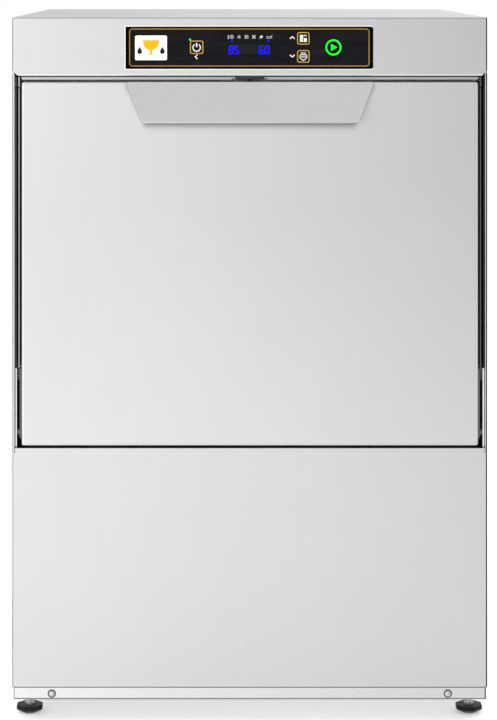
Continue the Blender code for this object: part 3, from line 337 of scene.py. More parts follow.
def glossy_strip(name, deep, pale, gloss):
    """Back-printed glossy sheet: near black, smooth, with faint wipe marks."""
    mat, tree, bsdf = new_material(name)
    place = add(tree, "ShaderNodeTexCoord").outputs["Object"]
    wipe = noise(tree, vector_node(tree, "MULTIPLY", place, (40.0, 1.0, 160.0)), 1.0, 3.0, 0.6)
    film = noise(tree, place, 2200.0, 2.0)
    base = mix_colour(tree, remap(tree, wipe, 0.3, 0.7, 0.0, 1.0), deep, pale)
    roughness = remap(tree, wipe, 0.3, 0.7, 0.20, 0.30)
    set_inputs(tree, bsdf, Base_Color=base, Roughness=roughness, Specular_IOR_Level=gloss,
               Normal=bump(tree, film, 0.05, 0.00003))
    return mat


def printed(name, colour, glow=0.0, rough=0.5):
    """Screen-printed ink or a lit mark, with the mottle that ink and diffusers have; glow on plain
    ink is painted light.
    """
    mat, tree, bsdf = new_material(name)
    place = add(tree, "ShaderNodeTexCoord").outputs["Object"]
    mottle = noise(tree, place, 1400.0, 3.0, 0.6)
    base = mix_colour(tree, remap(tree, mottle, 0.3, 0.7, 0.0, 1.0), shade(colour, 0.86), colour)
    values = dict(Base_Color=base, Specular_IOR_Level=0.15,
                  Roughness=remap(tree, mottle, 0.3, 0.7, rough - 0.1, rough + 0.1),
                  Normal=bump(tree, mottle, 0.1, 0.00003))
    if glow:
        values.update(Emission_Color=base, Emission_Strength=glow)
    set_inputs(tree, bsdf, **values)
    return mat


def circuit_board(name):
    """Green board: solder-mask colour, copper tracks under it, solder points."""
    mat, tree, bsdf = new_material(name)
    place = add(tree, "ShaderNodeTexCoord").outputs["Object"]
    flat = vector_node(tree, "MULTIPLY", place, (1.0, 0.0, 1.0))
    tracks = add(tree, "ShaderNodeTexBrick",
                 {"Vector": place, "Scale": 90.0, "Mortar Size": 0.06,
                  "Color1": (0.012, 0.10, 0.035, 1),
                  "Color2": (0.010, 0.085, 0.03, 1), "Mortar": (0.03, 0.20, 0.07, 1)})
    points = add(tree, "ShaderNodeTexVoronoi", {"Vector": flat, "Scale": 420.0}).outputs[0]
    dot = math_node(tree, "LESS_THAN", points, 0.16)
    base = mix_colour(tree, dot, tracks.outputs[0], (0.55, 0.55, 0.5, 1))
    set_inputs(tree, bsdf, Base_Color=base, Metallic=dot,
               Roughness=remap(tree, dot, 0, 1, 0.38, 0.25),
               Normal=bump(tree, tracks.outputs[1], 0.3, 0.00005))
    return mat


def display_cover(name):
    """Smoked window over the digits."""
    mat, tree, bsdf = new_material(name)
    place = add(tree, "ShaderNodeTexCoord").outputs["Object"]
    film = noise(tree, place, 700.0, 2.0)
    smoke = noise(tree, place, 35.0, 2.0)
    base = mix_colour(tree, smoke, (0.0010, 0.0010, 0.0014, 1), (0.0022, 0.0022, 0.003, 1))
    set_inputs(tree, bsdf, Base_Color=base, Roughness=remap(tree, film, 0.3, 0.7, 0.08, 0.14),
               Specular_IOR_Level=0.25, Normal=bump(tree, film, 0.04, 0.00002))
    return mat


def levelling_foot(name, stem_bottom):
    """One turned foot: black moulded pad below, zinc-plated stem above stem_bottom."""
    mat, tree, bsdf = new_material(name)
    place = add(tree, "ShaderNodeTexCoord").outputs["Object"]
    metal = math_node(tree, "GREATER_THAN", split(tree, place)[2], stem_bottom)
    pores = noise(tree, place, 700.0, 3.0, 0.6)
    drift = noise(tree, place, 40.0, 3.0)
    edge = edge_mask(tree, 0.0012)
    plastic = mix_colour(tree, drift, (0.003, 0.003, 0.004, 1), (0.009, 0.009, 0.010, 1))
    plastic = mix_colour(tree, math_node(tree, "MULTIPLY", edge, 0.5), plastic, grey(0.10))
    zinc = mix_colour(tree, drift, (0.42, 0.42, 0.41, 1), (0.60, 0.60, 0.58, 1))
    polish = math_node(tree, "ADD", metal, math_node(tree, "MULTIPLY", pores, 0.2))
    set_inputs(tree, bsdf, Base_Color=mix_colour(tree, metal, plastic, zinc), Metallic=metal,
               Specular_IOR_Level=0.22, Roughness=remap(tree, polish, 0.0, 1.2, 0.42, 0.30),
               Normal=bump(tree, pores, 0.22, 0.0001))
    return mat


MAT = {
    # lit_edge paints a glowing highlight on the door's upright folds; contact paints shade in gaps
    # and under the pull.
    "panel": brushed_steel("steel_front_panels", tone=0.825, grain=0.6, lit_edge=0.18, contact=0.5),
    # lower, side, top and base carry the painted dark lines and glowing painted highlights at their
    # folds;
    # top also has the painted grey shade line on its level fold.
    "lower": brushed_steel("steel_lower_panel", grain=0.6, fold=0.97, hem=0.0376),
    "side": brushed_steel("steel_side_panels", rough=0.33, stain=1.3, fold=0.97, glint=0.0026,
                          shine=0.22),
    "top": brushed_steel("steel_worktop", grain=0.5, flat="Y", fold=0.97, crest=0.55),
    "inner": brushed_steel("steel_deep_drawn", rough=0.34, grain=0.6, stain=1.6,
                           tint=(1.0, 0.995, 0.98), satin=0.35),
    # outer paints shade on the frame's lip and rim in the door gap.
    "frame": brushed_steel("steel_frame", tone=0.62, grain=0.8, outer=0.16),
    # The levers' very dark tone is painted shade: they sit deep in the gap beside the door.
    "lever": brushed_steel("steel_levers_painted_shade", tone=0.16, rough=0.34, grain=0.8),
    "lip": brushed_steel("steel_lip", tone=0.62, rough=0.34, upright="X"),
    "bracket": brushed_steel("steel_brackets", tone=0.95, rough=0.24, grain=0.5),
    "base": brushed_steel("steel_base", tone=0.90, rough=0.26, upright="X", fold=0.97,
                          half=0.2339, hem=0.0263),
    # The pull's lower tone is painted shade, and rim_line paints its dark outline and lower edge.
    "handle": brushed_steel("steel_handle_painted_shade", tone=0.74, rough=0.28, grain=0.5, upright="X",
                            rim_line=0.8),
    "wash": brushed_steel("steel_wash_arms", tone=0.72, rough=0.20, grain=0.5, upright="X",
                          stain=1.6),
    "filter": brushed_steel("steel_filter", tone=0.66, rough=0.34, grain=0.8, stain=1.8),
    "polished": turned_metal("polished_metal", (0.78, 0.78, 0.77, 1), 0.16),
    "spring": turned_metal("spring_wire", (0.55, 0.55, 0.56, 1), 0.24),
    "boiler": brushed_steel("steel_boiler", tone=0.66, rough=0.22, grain=0.7, stain=2.0,
                            tint=(1.0, 0.98, 0.94)),
    "brass": turned_metal("machined_brass", (0.72, 0.52, 0.24, 1), 0.24),
    "black": moulded("black_plastic", (0.016, 0.016, 0.017, 1), 0.42),
    "grey": moulded("grey_polypropylene", (0.30, 0.31, 0.32, 1), 0.46, texture=600.0),
    "white": moulded("white_plastic", (0.72, 0.72, 0.69, 1), 0.40, texture=700.0, clouding=0.05),
    "blue": moulded("blue_plastic", (0.02, 0.11, 0.42, 1), 0.35, texture=800.0),
    "rubber": moulded("black_rubber", (0.020, 0.020, 0.021, 1), 0.62, texture=1300.0, depth=0.35),
    "motor": moulded("motor_paint", (0.055, 0.065, 0.075, 1), 0.38, texture=450.0, depth=0.35,
                     coat=0.2),
    "cable": moulded("cable_sheath", (0.022, 0.022, 0.023, 1), 0.50, texture=500.0),
    "strip": glossy_strip("gloss_black_strip", (0.0040, 0.0038, 0.0052, 1),
                          (0.0082, 0.0077, 0.0100, 1), 0.07),
    "border": glossy_strip("gloss_black_border", (0.0002, 0.0002, 0.0003, 1),
                           (0.0006, 0.0006, 0.0007, 1), 0.02),
    "key": glossy_strip("gloss_black_keys", (0.0050, 0.0048, 0.0060, 1),
                        (0.0070, 0.0066, 0.0086, 1), 0.07),
    "board": circuit_board("circuit_board"),
    "window": display_cover("display_window_glass"),
    "foot": levelling_foot("levelling_foot", 0.0081),
    # The bezel's glow is a painted highlight: it glows though it is no lamp.
    "bezel": turned_metal("bezel_painted_glow", (0.97, 0.97, 0.97, 1), 0.30, glow=0.30),
    "amber": printed("amber_ink", (0.31, 0.180, 0.030, 1)),
    "key_amber": printed("key_amber_ink", (0.50, 0.30, 0.050, 1)),
    # The glow of white_ink, badge_white and badge_amber is painted light: these prints are no
    # lamps.
    "white_ink": printed("white_ink", (0.80, 0.80, 0.80, 1), glow=0.08),
    "grey_ink": printed("grey_ink", (0.60, 0.60, 0.61, 1)),
    "badge_white": printed("badge_white", (0.90, 0.90, 0.90, 1), glow=0.25, rough=0.3),
    "badge_amber": printed("badge_amber", (0.92, 0.42, 0.004, 1), glow=0.12),
    "badge_black": printed("badge_black", (0.01, 0.01, 0.01, 1)),
    "blue_light": printed("blue_light", (0.0, 0.0, 0.80, 1), glow=0.9),
    "blue_dim": printed("blue_segment_off", (0.004, 0.004, 0.02, 1)),
    "green_light": printed("green_light", (0.005, 0.95, 0.02, 1), glow=1.1),
    # green_halo's glow is a painted pool of the start ring's light.
    "green_halo": printed("green_halo", (0.004, 0.055, 0.006, 1), glow=0.3),
    "lamp_off": printed("lamp_off", (0.004, 0.004, 0.005, 1)),
}

BY_NODE = {
    "base_frame": "base", "left_side_panel": "side", "right_side_panel": "side",
    "rear_panel": "side", "top_cover": "top", "service_panel": "lower", "front_frame": "frame",
    "left_hinge_lever": "lever", "right_hinge_lever": "lever", "left_hinge_bracket": "bracket",
    "right_hinge_bracket": "bracket", "door_seal": "rubber", "foot_front_left": "foot",
    "foot_front_right": "foot", "foot_rear_left": "foot", "foot_rear_right": "foot",
    "control_panel": "border",
    "display_window": "window", "control_board": "board", "power_button": "key",
    "program_button": "key", "service_button": "key", "start_button": "key",
    "catch_housing": "black", "door_outer_panel": "panel", "door_inner_panel": "inner",
    "door_handle": "handle", "wash_tank": "inner", "left_rack_guide": "inner",
    "right_rack_guide": "inner", "surface_filter": "filter", "sump_filter": "filter",
    "overflow_pipe": "grey", "lower_manifold": "grey", "upper_manifold": "grey",
    "lower_wash_arm": "wash", "upper_wash_arm": "wash", "lower_rinse_arm": "wash",
    "upper_rinse_arm": "wash", "pump_casing": "black", "pump_motor": "motor",
    "pump_impeller": "white", "suction_hose": "rubber", "wash_pipe": "rubber",
    "rinse_boiler": "boiler", "boiler_heater": "brass", "rinse_pipe": "white",
    "inlet_valve": "white", "fill_hose": "rubber", "drain_hose": "grey", "mains_cable": "cable",
    "dosing_pump": "grey", "dosing_rotor": "blue",
}


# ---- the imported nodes: soft edges and finishes --------------------------------------
SMOOTH_LIMIT = math.radians(32)     # folds sharper than this stay sharp and get a bevel
FLAT_LIMIT = math.radians(0.4)      # facets closer to one plane than this are merged


def smoothing_group():
    """A geometry-node group that shades smooth and keeps folds sharper than a limit."""
    group = bpy.data.node_groups.new("smooth_by_angle", "GeometryNodeTree")
    group.interface.new_socket("Geometry", in_out="INPUT", socket_type="NodeSocketGeometry")
    group.interface.new_socket("Geometry", in_out="OUTPUT", socket_type="NodeSocketGeometry")
    source = group.nodes.new("NodeGroupInput")
    faces = group.nodes.new("GeometryNodeSetShadeSmooth")
    edges = group.nodes.new("GeometryNodeSetShadeSmooth")
    faces.domain, edges.domain = "FACE", "EDGE"
    angle = group.nodes.new("GeometryNodeInputMeshEdgeAngle")
    limit = group.nodes.new("FunctionNodeCompare")
    limit.operation = "LESS_THAN"
    limit.inputs[1].default_value = SMOOTH_LIMIT
    sink = group.nodes.new("NodeGroupOutput")
    link = group.links.new
    link(source.outputs[0], faces.inputs[0])
    link(faces.outputs[0], edges.inputs[0])
    link(angle.outputs[0], limit.inputs[0])
    link(limit.outputs[0], edges.inputs["Shade Smooth"])
    link(edges.outputs[0], sink.inputs[0])
    return group


SMOOTHING = smoothing_group()

# Sheets with many openings keep their facets: merged into one outline they would not fill right.
PIERCED = {"control_panel", "front_frame", "lower_wash_arm", "upper_wash_arm", "rear_panel",
           "left_side_panel", "right_side_panel", "surface_filter"}


def merge_flats(obj):
    flat = obj.modifiers.new("flats", "DECIMATE")
    flat.decimate_type, flat.angle_limit = "DISSOLVE", FLAT_LIMIT


def bevel_edges(obj, width, limit):
    edge = obj.modifiers.new("edge", "BEVEL")
    edge.width, edge.segments = width * MM, 2
    edge.limit_method, edge.angle_limit = "ANGLE", limit
    return edge


def soften(obj, width):
    """Welds the facets, merges coplanar ones, rounds the folds and shades them."""
    weld = obj.modifiers.new("weld", "WELD")
    weld.merge_threshold = 0.005 * MM
    if obj.name not in PIERCED:
        merge_flats(obj)
    smooth = obj.modifiers.new("smooth", "NODES")
    smooth.node_group = SMOOTHING
    if width:
        edge = bevel_edges(obj, width, SMOOTH_LIMIT)
        edge.use_clamp_overlap = True
        edge.miter_outer = "MITER_ARC"
    even = obj.modifiers.new("even", "WEIGHTED_NORMAL")
    even.mode, even.weight, even.keep_sharp = "FACE_AREA", 80, True


SHEET_EDGE = 0.35                   # bevel widths, mm
EDGE_WIDTH = {"border": 0.2, "base": 0.7, "window": 0.15, "black": 0.4, "rubber": 0.0,
              "polished": 0.25, "foot": 0.5}
for node_name, obj in sorted(NODES.items()):
    finish = BY_NODE.get(node_name, "polished")
    obj.data.materials.clear()
    obj.data.materials.append(MAT[finish])
    soften(obj, EDGE_WIDTH.get(finish, SHEET_EDGE))


# ---- flat shapes on the front --------------------------------------------------------
def arc(cx, cz, radius, start, end, steps=10):
    return [(cx + radius * math.cos(a), cz + radius * math.sin(a))
            for a in (start + (end - start) * k / steps for k in range(steps + 1))]


def circle(cx, cz, radius, steps=32):
    return arc(cx, cz, radius, 0, 2 * math.pi, steps)[:-1]


def rounded_rect(cx, cz, half_w, half_h, radius, steps=4):
    points = []
    for sx, sz, turn in ((1, 1, 0), (-1, 1, 1), (-1, -1, 2), (1, -1, 3)):
        points += arc(cx + sx * (half_w - radius), cz + sz * (half_h - radius), radius,
                      turn * math.pi / 2, (turn + 1) * math.pi / 2, steps)
    return points


def ring(outer, inner):
    return (outer, [inner])


def frame_ring(cx, cz, half_w, half_h, radius, width):
    return ring(rounded_rect(cx, cz, half_w, half_h, radius),
                rounded_rect(cx, cz, half_w - width, half_h - width, max(radius - width, 0.1)))


def stroke(points, width):
    """A polyline drawn with a given width, its joints mitred."""
    left, right = [], []
    for i, (x, z) in enumerate(points):
        before = points[max(i - 1, 0)]
        after = points[min(i + 1, len(points) - 1)]
        d1 = Vector((x - before[0], z - before[1]))
        d2 = Vector((after[0] - x, after[1] - z))
        d1 = d1.normalized() if d1.length else d2.normalized()
        d2 = d2.normalized() if d2.length else d1
        tangent = (d1 + d2).normalized()
        side = Vector((-tangent.y, tangent.x))
        reach = width / 2 / max(0.35, side.dot(Vector((-d1.y, d1.x))))
        left.append((x + side.x * reach, z + side.y * reach))
        right.append((x - side.x * reach, z - side.y * reach))
    return (left + right[::-1], [])


def signed_area(loop):
    return sum(a[0] * b[1] - b[0] * a[1] for a, b in zip(loop, loop[1:] + loop[:1])) / 2


def plates(name, shapes, front, thick, mat, body, bevel=0.0):
    """Thin plates facing -Y made from (outline, holes) shapes in the XZ plane, in mm."""
    bm = bmesh.new()
    for outline, holes in shapes:
        loops = [outline if signed_area(outline) > 0 else outline[::-1]]
        loops += [h if signed_area(h) < 0 else h[::-1] for h in holes]
        flat = [p for loop in loops for p in loop]
        near = [bm.verts.new((x * MM, front * MM, z * MM)) for x, z in flat]
        far = [bm.verts.new((x * MM, (front + thick) * MM, z * MM)) for x, z in flat]
        triangles = tessellate_polygon([[Vector((x, z, 0)) for x, z in loop] for loop in loops])
        for a, b, c in triangles:
            cross = ((flat[b][0] - flat[a][0]) * (flat[c][1] - flat[a][1])
                     - (flat[c][0] - flat[a][0]) * (flat[b][1] - flat[a][1]))
            if abs(cross) < 1e-9:
                continue
            if cross < 0:
                b, c = c, b
            bm.faces.new((near[a], near[b], near[c]))
            bm.faces.new((far[a], far[c], far[b]))
        start = 0
        for loop in loops:
            n = len(loop)
            for k in range(n):
                i, j = start + k, start + (k + 1) % n
                bm.faces.new((near[j], near[i], far[i], far[j]))
            start += n
    obj = finish_mesh(name, bm, mat, body)
    if bevel:
        merge_flats(obj)
        bevel_edges(obj, bevel, math.radians(40)).harden_normals = True


def finish_mesh(name, bm, mat, body):
    mesh = bpy.data.meshes.new(name)
    bm.normal_update()
    bm.to_mesh(mesh)
    bm.free()
    mesh.materials.append(MAT[mat])
    obj = bpy.data.objects.new(name, mesh)
    bpy.context.scene.collection.objects.link(obj)
    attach(obj, body)
    return obj


# ---- control strip graphics: x and z in mm, as seen from the front ----------------------
PANEL_FRONT = -266.7                # y of the black panel's face, mm
OVERLAY = 0.12                      # thickness of the printed sheet on it
STRIP_FRONT = PANEL_FRONT - OVERLAY
KEY_FRONT = -267.0                  # y of the key caps' faces
INK = 0.06                          # thickness of a print
STRIP = (-1.0, 669.75)              # middles of the bezel, the overlay, the start key's ring
SHEET = (-0.5, 670.05)              # and the badge's picture
START = (82.65, 670.15)
BADGE = (-97.7, 670.2)
DOT_HIGH, DOT_LOW = 676.9, 674.9    # top and tip of a status arrow


def ink(name, shapes, mat, body="cabinet", front=STRIP_FRONT):
    """A print on the overlay, or on another face of the strip."""
    plates(name, shapes, front - INK, INK, mat, body)


def tick(*points):
    """Three points of an arrow head as one stroke."""
    return stroke(points, 0.95)


plates("strip_bezel", [frame_ring(*STRIP, 122.8, 21.8, 1.6, 0.95)],
       -265.75, 0.76, "bezel", "cabinet", bevel=0.2)
plates("strip_gasket", [frame_ring(*STRIP, 121.95, 20.9, 1.0, 4.9)],
       PANEL_FRONT - 0.1, 1.72, "border", "cabinet")
plates("strip_overlay", [(rounded_rect(*SHEET, 117.9, 17.9, 2.2), [
    rounded_rect(0.0, 668.25, 21.5, 5.75, 0.3),
    rounded_rect(-52.4, 670.5, 7.3, 7.3, 2.0), rounded_rect(53.2, 679.2, 6.9, 6.9, 1.9),
    rounded_rect(53.2, 661.4, 6.9, 6.9, 1.9), circle(82.6, 670.0, 8.9)])],
       STRIP_FRONT, OVERLAY, "strip", "cabinet")
ink("strip_inset_line", [frame_ring(*SHEET, 118.9, 18.85, 3.2, 1.05)], "amber")
plates("badge_shadow", [(rounded_rect(BADGE[0], BADGE[1] - 0.5, 16.7, 13.1, 2.0), [])],
       PANEL_FRONT - 0.2, 0.08, "border", "cabinet")
plates("badge_plate", [(rounded_rect(BADGE[0], BADGE[1] - 0.5, 15.8, 12.2, 1.4), [])],
       PANEL_FRONT - 0.6, 0.42, "badge_white", "cabinet", bevel=0.2)

# The badge holds a plain drinking-glass picture between two drops.
bowl = [(-8.6, 7.2), (-7.0, 0.6), (-3.4, -2.2), (-1.1, -2.9), (-1.1, -6.4), (-4.6, -7.6),
        (4.6, -7.6), (1.1, -6.4), (1.1, -2.9), (3.4, -2.2), (7.0, 0.6), (8.6, 7.2)]
plates("badge_glass", [([(BADGE[0] + x, BADGE[1] + z) for x, z in bowl], [])],
       PANEL_FRONT - 0.67, 0.07, "badge_amber", "cabinet")


def drop(cx, cz, size):
    points = arc(cx, cz, size, math.radians(-210), math.radians(30), 14)
    return (points + [(cx, cz + size * 2.1)], [])


plates("badge_drops", [drop(BADGE[0] + s * 11.2, BADGE[1] - 4.2, 2.4) for s in (-1, 1)],
       PANEL_FRONT - 0.67, 0.07, "badge_black", "cabinet")

plates("ready_lamp", [(circle(-59.1, 677.8, 0.95, 16), [])], STRIP_FRONT - 0.1, 0.1,
       "green_light", "cabinet")
ink("strip_arrows", [tick((-51.7, 663.0), (-54.0, 660.8), (-51.7, 658.6)),
                     tick((39.7, 678.6), (42.0, 680.8), (44.3, 678.6)),
                     tick((39.7, 662.8), (42.0, 660.6), (44.3, 662.8))], "white_ink")


def status_icons():
    """Six small phase pictures in a row: thermometer, flake, waves, cross, leaf, tub."""
    z, w = 680.6, 0.42
    x = -19.3
    shapes = [stroke([(x - 1.9, z - 1.2), (x - 1.9, z + 1.6)], 0.7),
              (circle(x - 1.9, z - 1.4, 0.75, 12), []),
              ring(circle(x + 1.4, z, 1.9, 20), circle(x + 1.4, z, 1.45, 20)),
              (circle(x + 1.4, z, 0.6, 12), [])]
    x = -10.6
    for k in range(3):
        a = math.pi * k / 3 + math.pi / 6
        dx, dz = 1.9 * math.cos(a), 1.9 * math.sin(a)
        shapes.append(stroke([(x - dx, z - dz), (x + dx, z + dz)], w))
    x = -3.3
    for k in (-1, 0, 1):
        wave = [(x - 1.9 + 3.8 * t / 8, z + k * 1.25 + 0.4 * math.sin(t * math.pi / 2))
                for t in range(9)]
        shapes.append(stroke(wave, w))
    x = 4.0
    for s in (-1, 1):
        shapes.append(stroke([(x - 1.6, z - s * 1.6), (x + 1.6, z + s * 1.6)], 0.9))
    x = 11.4
    leaf = (arc(x - 0.9, z + 0.9, 2.6, math.radians(-75), math.radians(-15), 6)
            + arc(x + 0.9, z - 0.9, 2.6, math.radians(105), math.radians(165), 6))
    shapes += [(leaf, []), stroke([(x - 2.0, z - 2.0), (x - 0.4, z - 0.4)], w)]
    x = 19.0
    tub = [(x - 2.5, z + 0.8), (x - 1.9, z - 1.4), (x + 1.2, z - 1.4), (x + 1.8, z + 0.8)]
    shapes += [stroke(tub, w), stroke([(x - 2.3, z + 0.1), (x + 1.6, z + 0.1)], w),
               stroke([(x + 2.6, z + 1.6), (x + 2.6, z - 1.4)], 0.5)]
    return shapes


ink("status_icons", status_icons(), "grey_ink")
DOTS = [-17.9 + 36.1 * k / 5 for k in range(6)]
ink("status_lamps_lit", [([(x - 1.15, DOT_HIGH), (x, DOT_LOW), (x + 1.15, DOT_HIGH)], [])
                         for x in (DOTS[0], DOTS[-1])], "blue_light")
ink("status_lamps_off", [(circle(x, (DOT_HIGH + DOT_LOW) / 2, 0.8, 14), [])
                         for x in DOTS[1:-1]], "lamp_off")

# Seven-segment digits: each segment is named by its place.
SEGMENTS = {"a": ((0.08, 1), (0.92, 1)), "b": ((1, 0.95), (1, 0.53)), "c": ((1, 0.47), (1, 0.05)),
            "d": ((0.08, 0), (0.92, 0)), "e": ((0, 0.47), (0, 0.05)), "f": ((0, 0.95), (0, 0.53)),
            "g": ((0.08, 0.5), (0.92, 0.5))}
DIGITS = {"8": "abcdefg", "5": "acdfg", "6": "acdefg", "0": "abcdef"}
DIGIT_LOW, DIGIT_HIGH, DIGIT_STEP, DIGIT_WIDTH, DIGIT_SLANT = 663.9, 671.4, 5.6, 3.6, 0.5


def segments(text, left, lit):
    """The lit or the dark segments of a two-digit number."""
    shapes = []
    for k, digit in enumerate(text):
        for name, ends in SEGMENTS.items():
            if (name in DIGITS[digit]) == lit:
                shapes.append(stroke([(left + k * DIGIT_STEP + u * DIGIT_WIDTH + DIGIT_SLANT * v,
                                       DIGIT_LOW + v * (DIGIT_HIGH - DIGIT_LOW))
                                      for u, v in ends], 1.25))
    return shapes


for lit, label, mat in ((True, "digits_lit", "blue_light"), (False, "digits_off", "blue_dim")):
    plates(label, segments("85", -20.6, lit) + segments("60", 9.2, lit),
           PANEL_FRONT - INK, INK, mat, "cabinet")

# Key faces: an amber outline and a white picture on each.
KEYS = {"power": (-52.6, 670.3, 6.75), "program": (52.9, 679.1, 6.3),
        "service": (52.9, 661.3, 6.3)}
for key, (x, z, half) in KEYS.items():
    ink(key + "_key_outline", [frame_ring(x, z, half - 0.1, half - 0.1, 2.2, 1.0)],
        "key_amber", key + "_key", KEY_FRONT)
x, z, _ = KEYS["power"]
ink("power_key_mark", [
    stroke(arc(x, z - 0.3, 3.7, math.radians(125), math.radians(415), 22), 1.05),
    stroke([(x, z + 4.2), (x, z + 0.2)], 1.25)], "white_ink", "power_key", KEY_FRONT)
x, z, _ = KEYS["program"]
ink("program_key_mark", [
    (rounded_rect(x - 1.9, z + 1.5, 1.5, 1.9, 0.3), []),
    (rounded_rect(x - 1.9, z - 2.2, 1.5, 1.3, 0.3), []),
    (rounded_rect(x + 1.9, z - 1.6, 1.5, 1.9, 0.3), []),
    stroke(arc(x + 1.7, z + 1.6, 1.5, math.radians(10), math.radians(170), 8), 0.7)],
    "white_ink", "program_key", KEY_FRONT)
x, z, _ = KEYS["service"]
ink("service_key_mark", [
    stroke(arc(x, z - 0.2, 3.4, math.radians(150), math.radians(390), 16), 0.75),
    stroke([(x - 3.2, z + 1.5), (x + 3.2, z + 1.5)], 0.75),
    stroke([(x - 2.6, z + 3.2), (x + 2.6, z + 3.2)], 0.75),
    stroke([(x - 2.6, z - 0.6), (x + 2.6, z - 0.6)], 0.75),
    (circle(x, z - 3.6, 0.9, 12), [])], "white_ink", "service_key", KEY_FRONT)
ink("start_key_ring", [ring(circle(*START, 7.85, 48), circle(*START, 6.5, 48))],
    "green_light", "start_key", KEY_FRONT)
# The halo is painted light: the lit ring's glow spilling onto the key face.
plates("start_key_halo", [ring(circle(*START, 6.5, 48), circle(*START, 5.8, 48))],
       KEY_FRONT - 0.04, 0.04, "green_halo", "start_key")
ink("start_key_mark", [([(80.35, 673.45), (80.35, 666.85), (86.15, 670.15)], [])],
    "green_light", "start_key", KEY_FRONT)


# ---- turned and threaded pieces -------------------------------------------------------
STEM_RADIUS, THREAD_DEPTH, THREAD_PITCH = 3.72, 0.5, 1.5
THREAD_LOW, THREAD_HIGH = 9.7, 57.0
THREAD_SIDES, ROWS_PER_TURN = 28, 8


def thread(name, centre, body):
    """A real helical thread on a foot's stem, closed at both ends and faded out there."""
    bm = bmesh.new()
    rows = int((THREAD_HIGH - THREAD_LOW) / THREAD_PITCH * ROWS_PER_TURN)
    rings = []
    for r in range(rows + 1):
        z = THREAD_LOW + (THREAD_HIGH - THREAD_LOW) * r / rows
        fade = min(1.0, r / 3, (rows - r) / 3)
        row = []
        for s in range(THREAD_SIDES):
            phase = (z / THREAD_PITCH - s / THREAD_SIDES) % 1.0
            crest = 1 - abs(2 * phase - 1)
            rad = STEM_RADIUS + THREAD_DEPTH * crest * fade
            a = 2 * math.pi * s / THREAD_SIDES
            row.append(bm.verts.new(((centre[0] + rad * math.cos(a)) * MM,
                                     (centre[1] + rad * math.sin(a)) * MM, z * MM)))
        rings.append(row)
    for lower, upper in zip(rings, rings[1:]):
        for s in range(THREAD_SIDES):
            t = (s + 1) % THREAD_SIDES
            bm.faces.new((lower[s], lower[t], upper[t], upper[s]))
    bm.faces.new(rings[0][::-1])
    bm.faces.new(rings[-1])
    obj = finish_mesh(name, bm, "polished", body)
    for face in obj.data.polygons:
        face.use_smooth = len(face.vertices) == 4


for row, y in (("front", -220.0), ("rear", 220.0)):
    for side, x in (("left", -221.0), ("right", 221.0)):
        thread(f"{row}_{side}_foot_thread", (x, y), f"{row}_{side}_foot")


# ---- painted shadow rings round the base screws ------------------------------------------
BASE_SCREW_X, BASE_SCREW_Z = 196.0, 30.6
# Dark rings under the screw heads paint the shade round each head.
plates("base_screw_shade_rings", [ring(circle(x, BASE_SCREW_Z, 4.15, 32),
                                   circle(x, BASE_SCREW_Z, 2.1, 32))
                              for x in (-BASE_SCREW_X, BASE_SCREW_X)],
       -264.62, 0.1, "rubber", "cabinet")

# ---- lip over the door, either side of the catch ----------------------------------------
LIP_LOW, LIP_HIGH = 638.0, 639.3
plates("door_gap_lip", [([(x0, LIP_LOW), (x1, LIP_LOW), (x1, LIP_HIGH), (x0, LIP_HIGH)], [])
                        for x0, x1 in ((-226.0, -18.0), (18.0, 226.0))],
       -257.9, 0.7, "lip", "cabinet")

# ---- door struts: stand-ins with a slotted lower eye ------------------------------------
EYE_RADIUS = 0.0054
EYE_STRETCH = 1.62               # an upright slot, so the eye still clears its pin
for side in ("left", "right"):
    name = side + "_door_strut"
    source = NODES[name]
    copy = bpy.data.objects.new(side + "_strut", source.data.copy())
    bpy.context.scene.collection.objects.link(copy)
    copy.data.materials.clear()
    copy.data.materials.append(MAT["spring"])
    eye = min(vertex.co.z for vertex in copy.data.vertices) + EYE_RADIUS
    for vertex in copy.data.vertices:
        if vertex.co.z < eye + EYE_RADIUS + 0.0005:
            vertex.co.z = eye + (vertex.co.z - eye) * EYE_STRETCH
    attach(copy, "cabinet")
    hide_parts(name)
    soften(copy, 0.0)
    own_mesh(copy)


# ---- studio ---------------------------------------------------------------------------
CEILING, RIGHT_WALL, LEFT_WALL = 0.80, 0.60, 0.92
FLOOR_LIFT = 0.31                # light the floor adds for the eye only, to be seen white
FLOOR_IN_METAL = 0.7             # share of the studio light in the floor's mirror picture


def studio_level(tree, way):
    """How bright the studio is in a direction: white at the front left, greyer to the right."""
    def blend(share, a, b):
        return add(tree, "ShaderNodeMix", {0: share, 2: a, 3: b}, data_type="FLOAT").outputs[0]

    x, y, z = split(tree, way)
    high = remap(tree, x, -0.34, 0.34, 1.92, 0.02, True)
    low = remap(tree, x, -0.34, 0.34, 1.33, 0.30, True)
    before = blend(remap(tree, z, -0.22, 0.02, 0.0, 1.0, True), low, high)
    before = blend(remap(tree, x, 0.45, 0.75, 0.0, 1.0, True), before, RIGHT_WALL)
    before = blend(remap(tree, x, -0.38, -0.62, 0.0, 1.0, True), before, LEFT_WALL)
    behind = remap(tree, x, -0.16, 0.16, 0.60, 0.92, True)
    level = blend(remap(tree, y, 0.25, -0.25, 0.0, 1.0, True), behind, before)
    return blend(remap(tree, z, 0.35, 0.75, 0.0, 1.0, True), level, CEILING)


